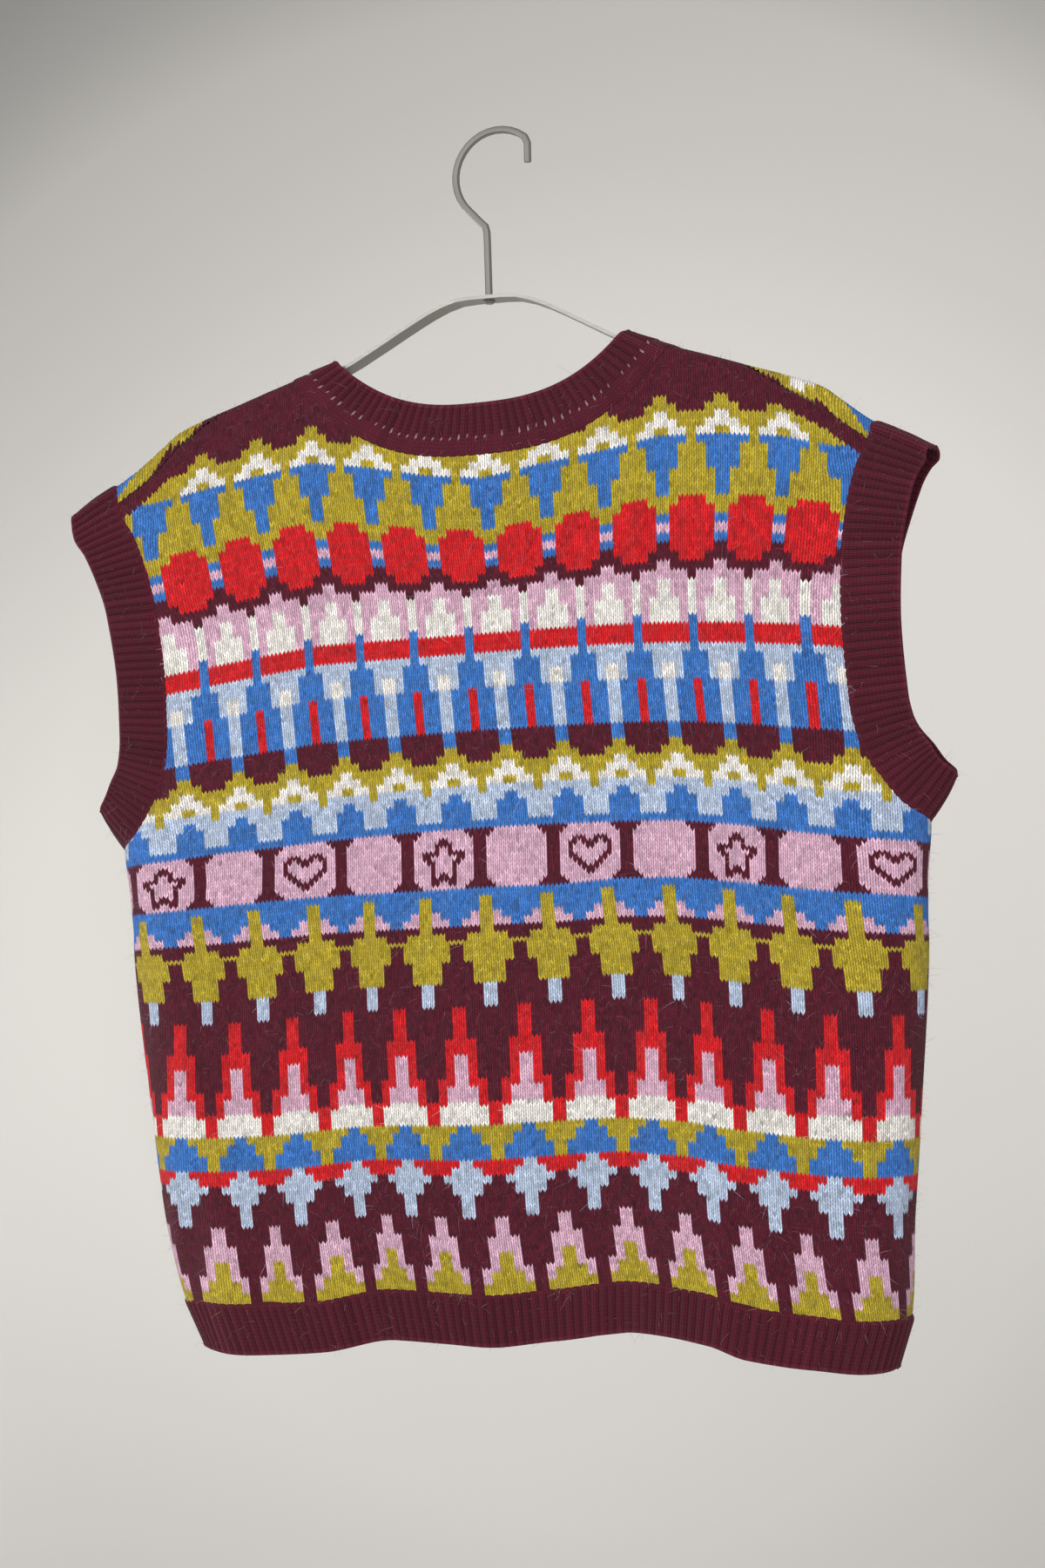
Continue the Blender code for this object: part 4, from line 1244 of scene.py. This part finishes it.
class Nodes:
    """Builds a material's nodes with short calls."""

    def __init__(self, name):
        self.material = bpy.data.materials.new(name)
        self.material.use_nodes = True
        self.tree = self.material.node_tree
        self.shader = self.tree.nodes["Principled BSDF"]

    def fill(self, node, inputs):
        """Sets a node's inputs: another node's output is joined, and anything else is a fixed value."""
        for name, value in inputs.items():
            if isinstance(value, bpy.types.NodeSocket):
                self.tree.links.new(value, node.inputs[name])
            else:
                node.inputs[name].default_value = value

    def add(self, kind, inputs=None, **values):
        node = self.tree.nodes.new(kind)
        for name, value in values.items():
            setattr(node, name, value)
        self.fill(node, inputs or {})
        return node

    def maths(self, operation, *values):
        return self.add("ShaderNodeMath", dict(enumerate(values)), operation=operation).outputs[0]

    def noise(self, places, scale, detail):
        inputs = {"Vector": places, "Scale": scale, "Detail": detail}
        return self.add("ShaderNodeTexNoise", inputs).outputs["Fac"]

    def ridges(self, place, turn, squareness):
        """Rounded ridges, one for each half turn."""
        wave = self.maths("SINE", self.maths("MULTIPLY", place, turn))
        return self.maths("POWER", self.maths("ABSOLUTE", wave), squareness)

    def toned(self, colour, share):
        inputs = {0: colour, "Scale": share}
        return self.add("ShaderNodeVectorMath", inputs, operation="SCALE").outputs["Vector"]

    def bump(self, height, distance, strength):
        inputs = {"Height": height, "Distance": distance, "Strength": strength}
        return self.add("ShaderNodeBump", inputs).outputs["Normal"]

    def object_places(self):
        return self.add("ShaderNodeTexCoord").outputs["Object"]

    def yarn_tone(self):
        return self.add("ShaderNodeVertexColor", layer_name="yarn").outputs["Color"]


def wool_material(name, depth):
    """Wool in stocking stitch: two slanting legs to a stitch with painted shade between them, loose fibres,
    a soft nap.
    """
    made = Nodes(name)
    stitches = made.add("ShaderNodeUVMap", uv_map="stitches").outputs["UV"]
    apart = made.add("ShaderNodeSeparateXYZ", {0: stitches})
    legs = made.ridges(apart.outputs[0], 2 * math.pi, LEG_SQUARENESS)
    rows = made.ridges(apart.outputs[1], math.pi, ROW_SQUARENESS)
    stitch = made.maths("MULTIPLY", legs, made.maths("MULTIPLY_ADD", rows, *ROW_RELIEF))
    places = made.object_places()
    fibres = made.noise(places, FIBRE_SCALE, 4)
    heather = made.noise(places, HEATHER_SCALE, 3)
    relief = made.maths("MULTIPLY_ADD", fibres, FIBRE_RELIEF, stitch)

    # painted shade: the yarn's colour darkens in the gaps between the stitch's legs and rows
    shade = made.maths("MULTIPLY_ADD", stitch, *PAINTED_STITCH_SHADE)
    mottle = made.maths("MULTIPLY_ADD", heather, *HEATHER_SHADE)
    fine = made.maths("MULTIPLY_ADD", fibres, *FIBRE_SHADE)
    factor = made.maths("MULTIPLY", made.maths("MULTIPLY", shade, mottle), fine)
    look = {
        "Base Color": made.toned(made.yarn_tone(), factor),
        "Normal": made.bump(relief, depth, 0.8),
        "Roughness": 0.95,
        "Specular IOR Level": 0.2,
        "Sheen Weight": 0.06,
        "Sheen Roughness": 0.5,
    }
    made.fill(made.shader, look)
    return made.material


def hair_material():
    made = Nodes("loose wool")
    look = {"Base Color": made.yarn_tone(), "Roughness": 0.9, "Specular IOR Level": 0.2}
    made.fill(made.shader, look)
    return made.material


def metal_material(colour):
    """Bare metal, lightly brushed along its length."""
    made = Nodes("brushed metal")
    mapping = made.add("ShaderNodeMapping", {"Vector": made.object_places(), "Scale": BRUSH_SCALE})
    brushed = made.noise(mapping.outputs["Vector"], 1, 3)
    look = {
        "Base Color": (*colour, 1),
        "Metallic": 1,
        "Roughness": made.maths("MULTIPLY_ADD", brushed, *METAL_ROUGHNESS),
        "Normal": made.bump(brushed, 0.05 * MM, 0.5),
    }
    made.fill(made.shader, look)
    return made.material


def backdrop_painted_light_material(colour):
    """Paper with a painted pool of light that darkens away from its brightest place; it is clear from
    behind for views from there.
    """
    made = Nodes("backdrop paper")
    inputs = {
        "Vector": made.object_places(),
        "Location": PAINTED_LIGHT_PLACE,
        "Rotation": (0, 0, CAMERA_TURN),
        "Scale": (PAINTED_LIGHT_REACH, 100, PAINTED_LIGHT_REACH),
    }
    places = made.add("ShaderNodeMapping", inputs, vector_type="TEXTURE").outputs["Vector"]
    # painted light: the paper's colour falls off with distance from its brightest place
    painted_light_nearness = made.add("ShaderNodeTexGradient", {"Vector": places}, gradient_type="SPHERICAL")
    painted_light_ramp = made.add("ShaderNodeValToRGB", {"Fac": painted_light_nearness.outputs["Fac"]})
    for stop in PAINTED_LIGHT_FALLOFF[1:-1]:
        painted_light_ramp.color_ramp.elements.new(stop[0])
    for element, (place, share) in zip(painted_light_ramp.color_ramp.elements, PAINTED_LIGHT_FALLOFF):
        element.position = place
        element.color = (*(c * share for c in colour), 1)
    # painted light: the paper's colour also falls off from one side to the other
    apart = made.add("ShaderNodeSeparateXYZ", {0: places})
    slant = dict(zip(("From Min", "From Max", "To Min", "To Max"), PAINTED_LIGHT_SLANT))
    across = made.add("ShaderNodeMapRange", {"Value": apart.outputs[0], **slant})
    toned = made.toned(painted_light_ramp.outputs["Color"], across.outputs["Result"])
    made.fill(made.shader, {"Base Color": toned, "Roughness": 0.9})
    behind = made.add("ShaderNodeNewGeometry").outputs["Backfacing"]
    clear = made.add("ShaderNodeBsdfTransparent").outputs[0]
    one_sided = made.add("ShaderNodeMixShader", {0: behind, 1: made.shader.outputs[0], 2: clear})
    made.fill(made.tree.nodes["Material Output"], {"Surface": one_sided.outputs[0]})
    return made.material


def area_light(name, place, target, size, colour, power):
    light = bpy.data.lights.new(name, "AREA")
    light.shape = "RECTANGLE"
    light.size, light.size_y = size
    light.energy = power
    light.color = colour
    made = bpy.data.objects.new(name, light)
    bpy.context.scene.collection.objects.link(made)
    made.location = place
    made.rotation_euler = (Vector(target) - Vector(place)).to_track_quat("-Z", "Y").to_euler()


def lay_backdrop(colour):
    """A pale floor that curves up into a wall, square to the camera."""
    bm = bmesh.new()
    made = bmesh.ops.create_grid(bm, x_segments=8, y_segments=60, size=0.5)["verts"]
    bmesh.ops.scale(bm, vec=(2 * STAGE_HALF_WIDTH, 1, 1), verts=made)
    curve_run = WALL_CURVE * math.pi / 2
    for vert in made:
        run = (vert.co.y + 0.5) * (FLOOR_RUN + curve_run + WALL_HEIGHT)
        if run < FLOOR_RUN:
            vert.co.y, vert.co.z = run - FLOOR_RUN, 0
        elif run < FLOOR_RUN + curve_run:
            turn = (run - FLOOR_RUN) / WALL_CURVE
            vert.co.y, vert.co.z = WALL_CURVE * math.sin(turn), WALL_CURVE * (1 - math.cos(turn))
        else:
            vert.co.y, vert.co.z = WALL_CURVE, WALL_CURVE + run - FLOOR_RUN - curve_run
    bmesh.ops.translate(bm, vec=(0, WALL_DISTANCE - WALL_CURVE, FLOOR_LEVEL), verts=made)
    bmesh.ops.rotate(bm, cent=(0, 0, 0), matrix=Matrix.Rotation(CAMERA_TURN, 3, "Z"), verts=made)
    stage = mesh_object("stage_floor", bm, backdrop_painted_light_material(colour))
    stage.data.shade_smooth()


def set_stage(look):
    """The backdrop, soft lights, the light of the room and the camera."""
    scene = bpy.context.scene
    lay_backdrop(tuple(look.backdrop))
    for name, light in LIGHTS.items():
        area_light(name, *light, getattr(look, f"{name}_power"))

    world = bpy.data.worlds.new("room")
    world.use_nodes = True
    background = world.node_tree.nodes["Background"]
    background.inputs["Color"].default_value = ROOM_COLOUR
    background.inputs["Strength"].default_value = look.ambient
    scene.world = world
    scene.view_settings.view_transform = "Standard"

    camera = bpy.data.cameras.new("camera")
    camera.lens = CAMERA_LENS
    camera.sensor_width = 36
    camera.clip_start = 0.05
    made = bpy.data.objects.new("camera", camera)
    scene.collection.objects.link(made)
    made.location = CAMERA_PLACE
    made.rotation_euler = (math.pi / 2, 0, CAMERA_TURN)
    scene.camera = made


class VEST_OT_knit_panels(bpy.types.Operator):
    """Knit the back and front panels from their charts"""

    bl_idname = "vest.knit_panels"
    bl_label = "Knit the panels"

    def execute(self, context):
        sizes, yarns = context.scene.vest_sizes, context.scene.vest_yarns
        material = wool_material("patterned wool", 0.7 * MM)
        knit_panel("back_panel_knit", BACK, "back_panel", sizes, yarns, material)
        knit_panel("front_panel_knit", FRONT, "front_panel", sizes, yarns, material)
        return {"FINISHED"}


class VEST_OT_knit_bands(bpy.types.Operator):
    """Knit the ribbed neckband, armhole bands and hem ribs"""

    bl_idname = "vest.knit_bands"
    bl_label = "Knit the ribbed bands"

    def execute(self, context):
        sizes, yarns = context.scene.vest_sizes, context.scene.vest_yarns
        material = wool_material("plum wool rib", 0.6 * MM)
        knit_neckband(sizes, yarns, material)
        knit_armband("armband_left", LEFT, sizes, yarns, material)
        knit_armband("armband_right", RIGHT, sizes, yarns, material)
        knit_hem_rib("hem_rib_back", BACK, sizes, yarns, material)
        knit_hem_rib("hem_rib_front", FRONT, sizes, yarns, material)
        return {"FINISHED"}


class VEST_OT_raise_nap(bpy.types.Operator):
    """Raise the loose hairs of the wool"""

    bl_idname = "vest.raise_nap"
    bl_label = "Raise the nap"

    def execute(self, context):
        raise_nap(context.scene.vest_sizes, hair_material())
        return {"FINISHED"}


class VEST_OT_finish_hanger(bpy.types.Operator):
    """Give the hanger its brushed metal"""

    bl_idname = "vest.finish_hanger"
    bl_label = "Finish the hanger"

    def execute(self, context):
        metal = metal_material(tuple(context.scene.stage_look.metal))
        for node in ("hanger_bar", "hanger_hook"):
            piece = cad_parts[node]
            piece.data.materials.clear()
            piece.data.materials.append(metal)
        return {"FINISHED"}


class VEST_OT_set_stage(bpy.types.Operator):
    """Lay the floor, hang the lights and place the camera"""

    bl_idname = "vest.set_stage"
    bl_label = "Set the stage"

    def execute(self, context):
        set_stage(context.scene.stage_look)
        return {"FINISHED"}


class VEST_PT_panel(bpy.types.Panel):
    """Lists the steps and sizes of the vest"""

    bl_label = "Knitted vest"
    bl_idname = "VEST_PT_panel"
    bl_space_type = "VIEW_3D"
    bl_region_type = "UI"
    bl_category = "Vest"

    def draw(self, context):
        for step in STEPS:
            self.layout.operator(step.bl_idname)
        for group in (context.scene.vest_sizes, context.scene.vest_yarns, context.scene.stage_look):
            box = self.layout.box()
            for name in group.__annotations__:
                box.prop(group, name)


STEPS = (
    VEST_OT_knit_panels,
    VEST_OT_knit_bands,
    VEST_OT_raise_nap,
    VEST_OT_finish_hanger,
    VEST_OT_set_stage,
)
GROUPS = (VestSizes, VestYarns, StageLook)


def register():
    for made in (*GROUPS, *STEPS, VEST_PT_panel):
        bpy.utils.register_class(made)
    bpy.types.Scene.vest_sizes = PointerProperty(type=VestSizes)
    bpy.types.Scene.vest_yarns = PointerProperty(type=VestYarns)
    bpy.types.Scene.stage_look = PointerProperty(type=StageLook)


def unregister():
    for name in ("vest_sizes", "vest_yarns", "stage_look"):
        delattr(bpy.types.Scene, name)
    for made in reversed((*GROUPS, *STEPS, VEST_PT_panel)):
        bpy.utils.unregister_class(made)


def main():
    register()
    bpy.ops.vest.knit_panels()
    bpy.ops.vest.knit_bands()
    bpy.ops.vest.raise_nap()
    bpy.ops.vest.finish_hanger()
    bpy.ops.vest.set_stage()


if __name__ == "__main__":
    main()
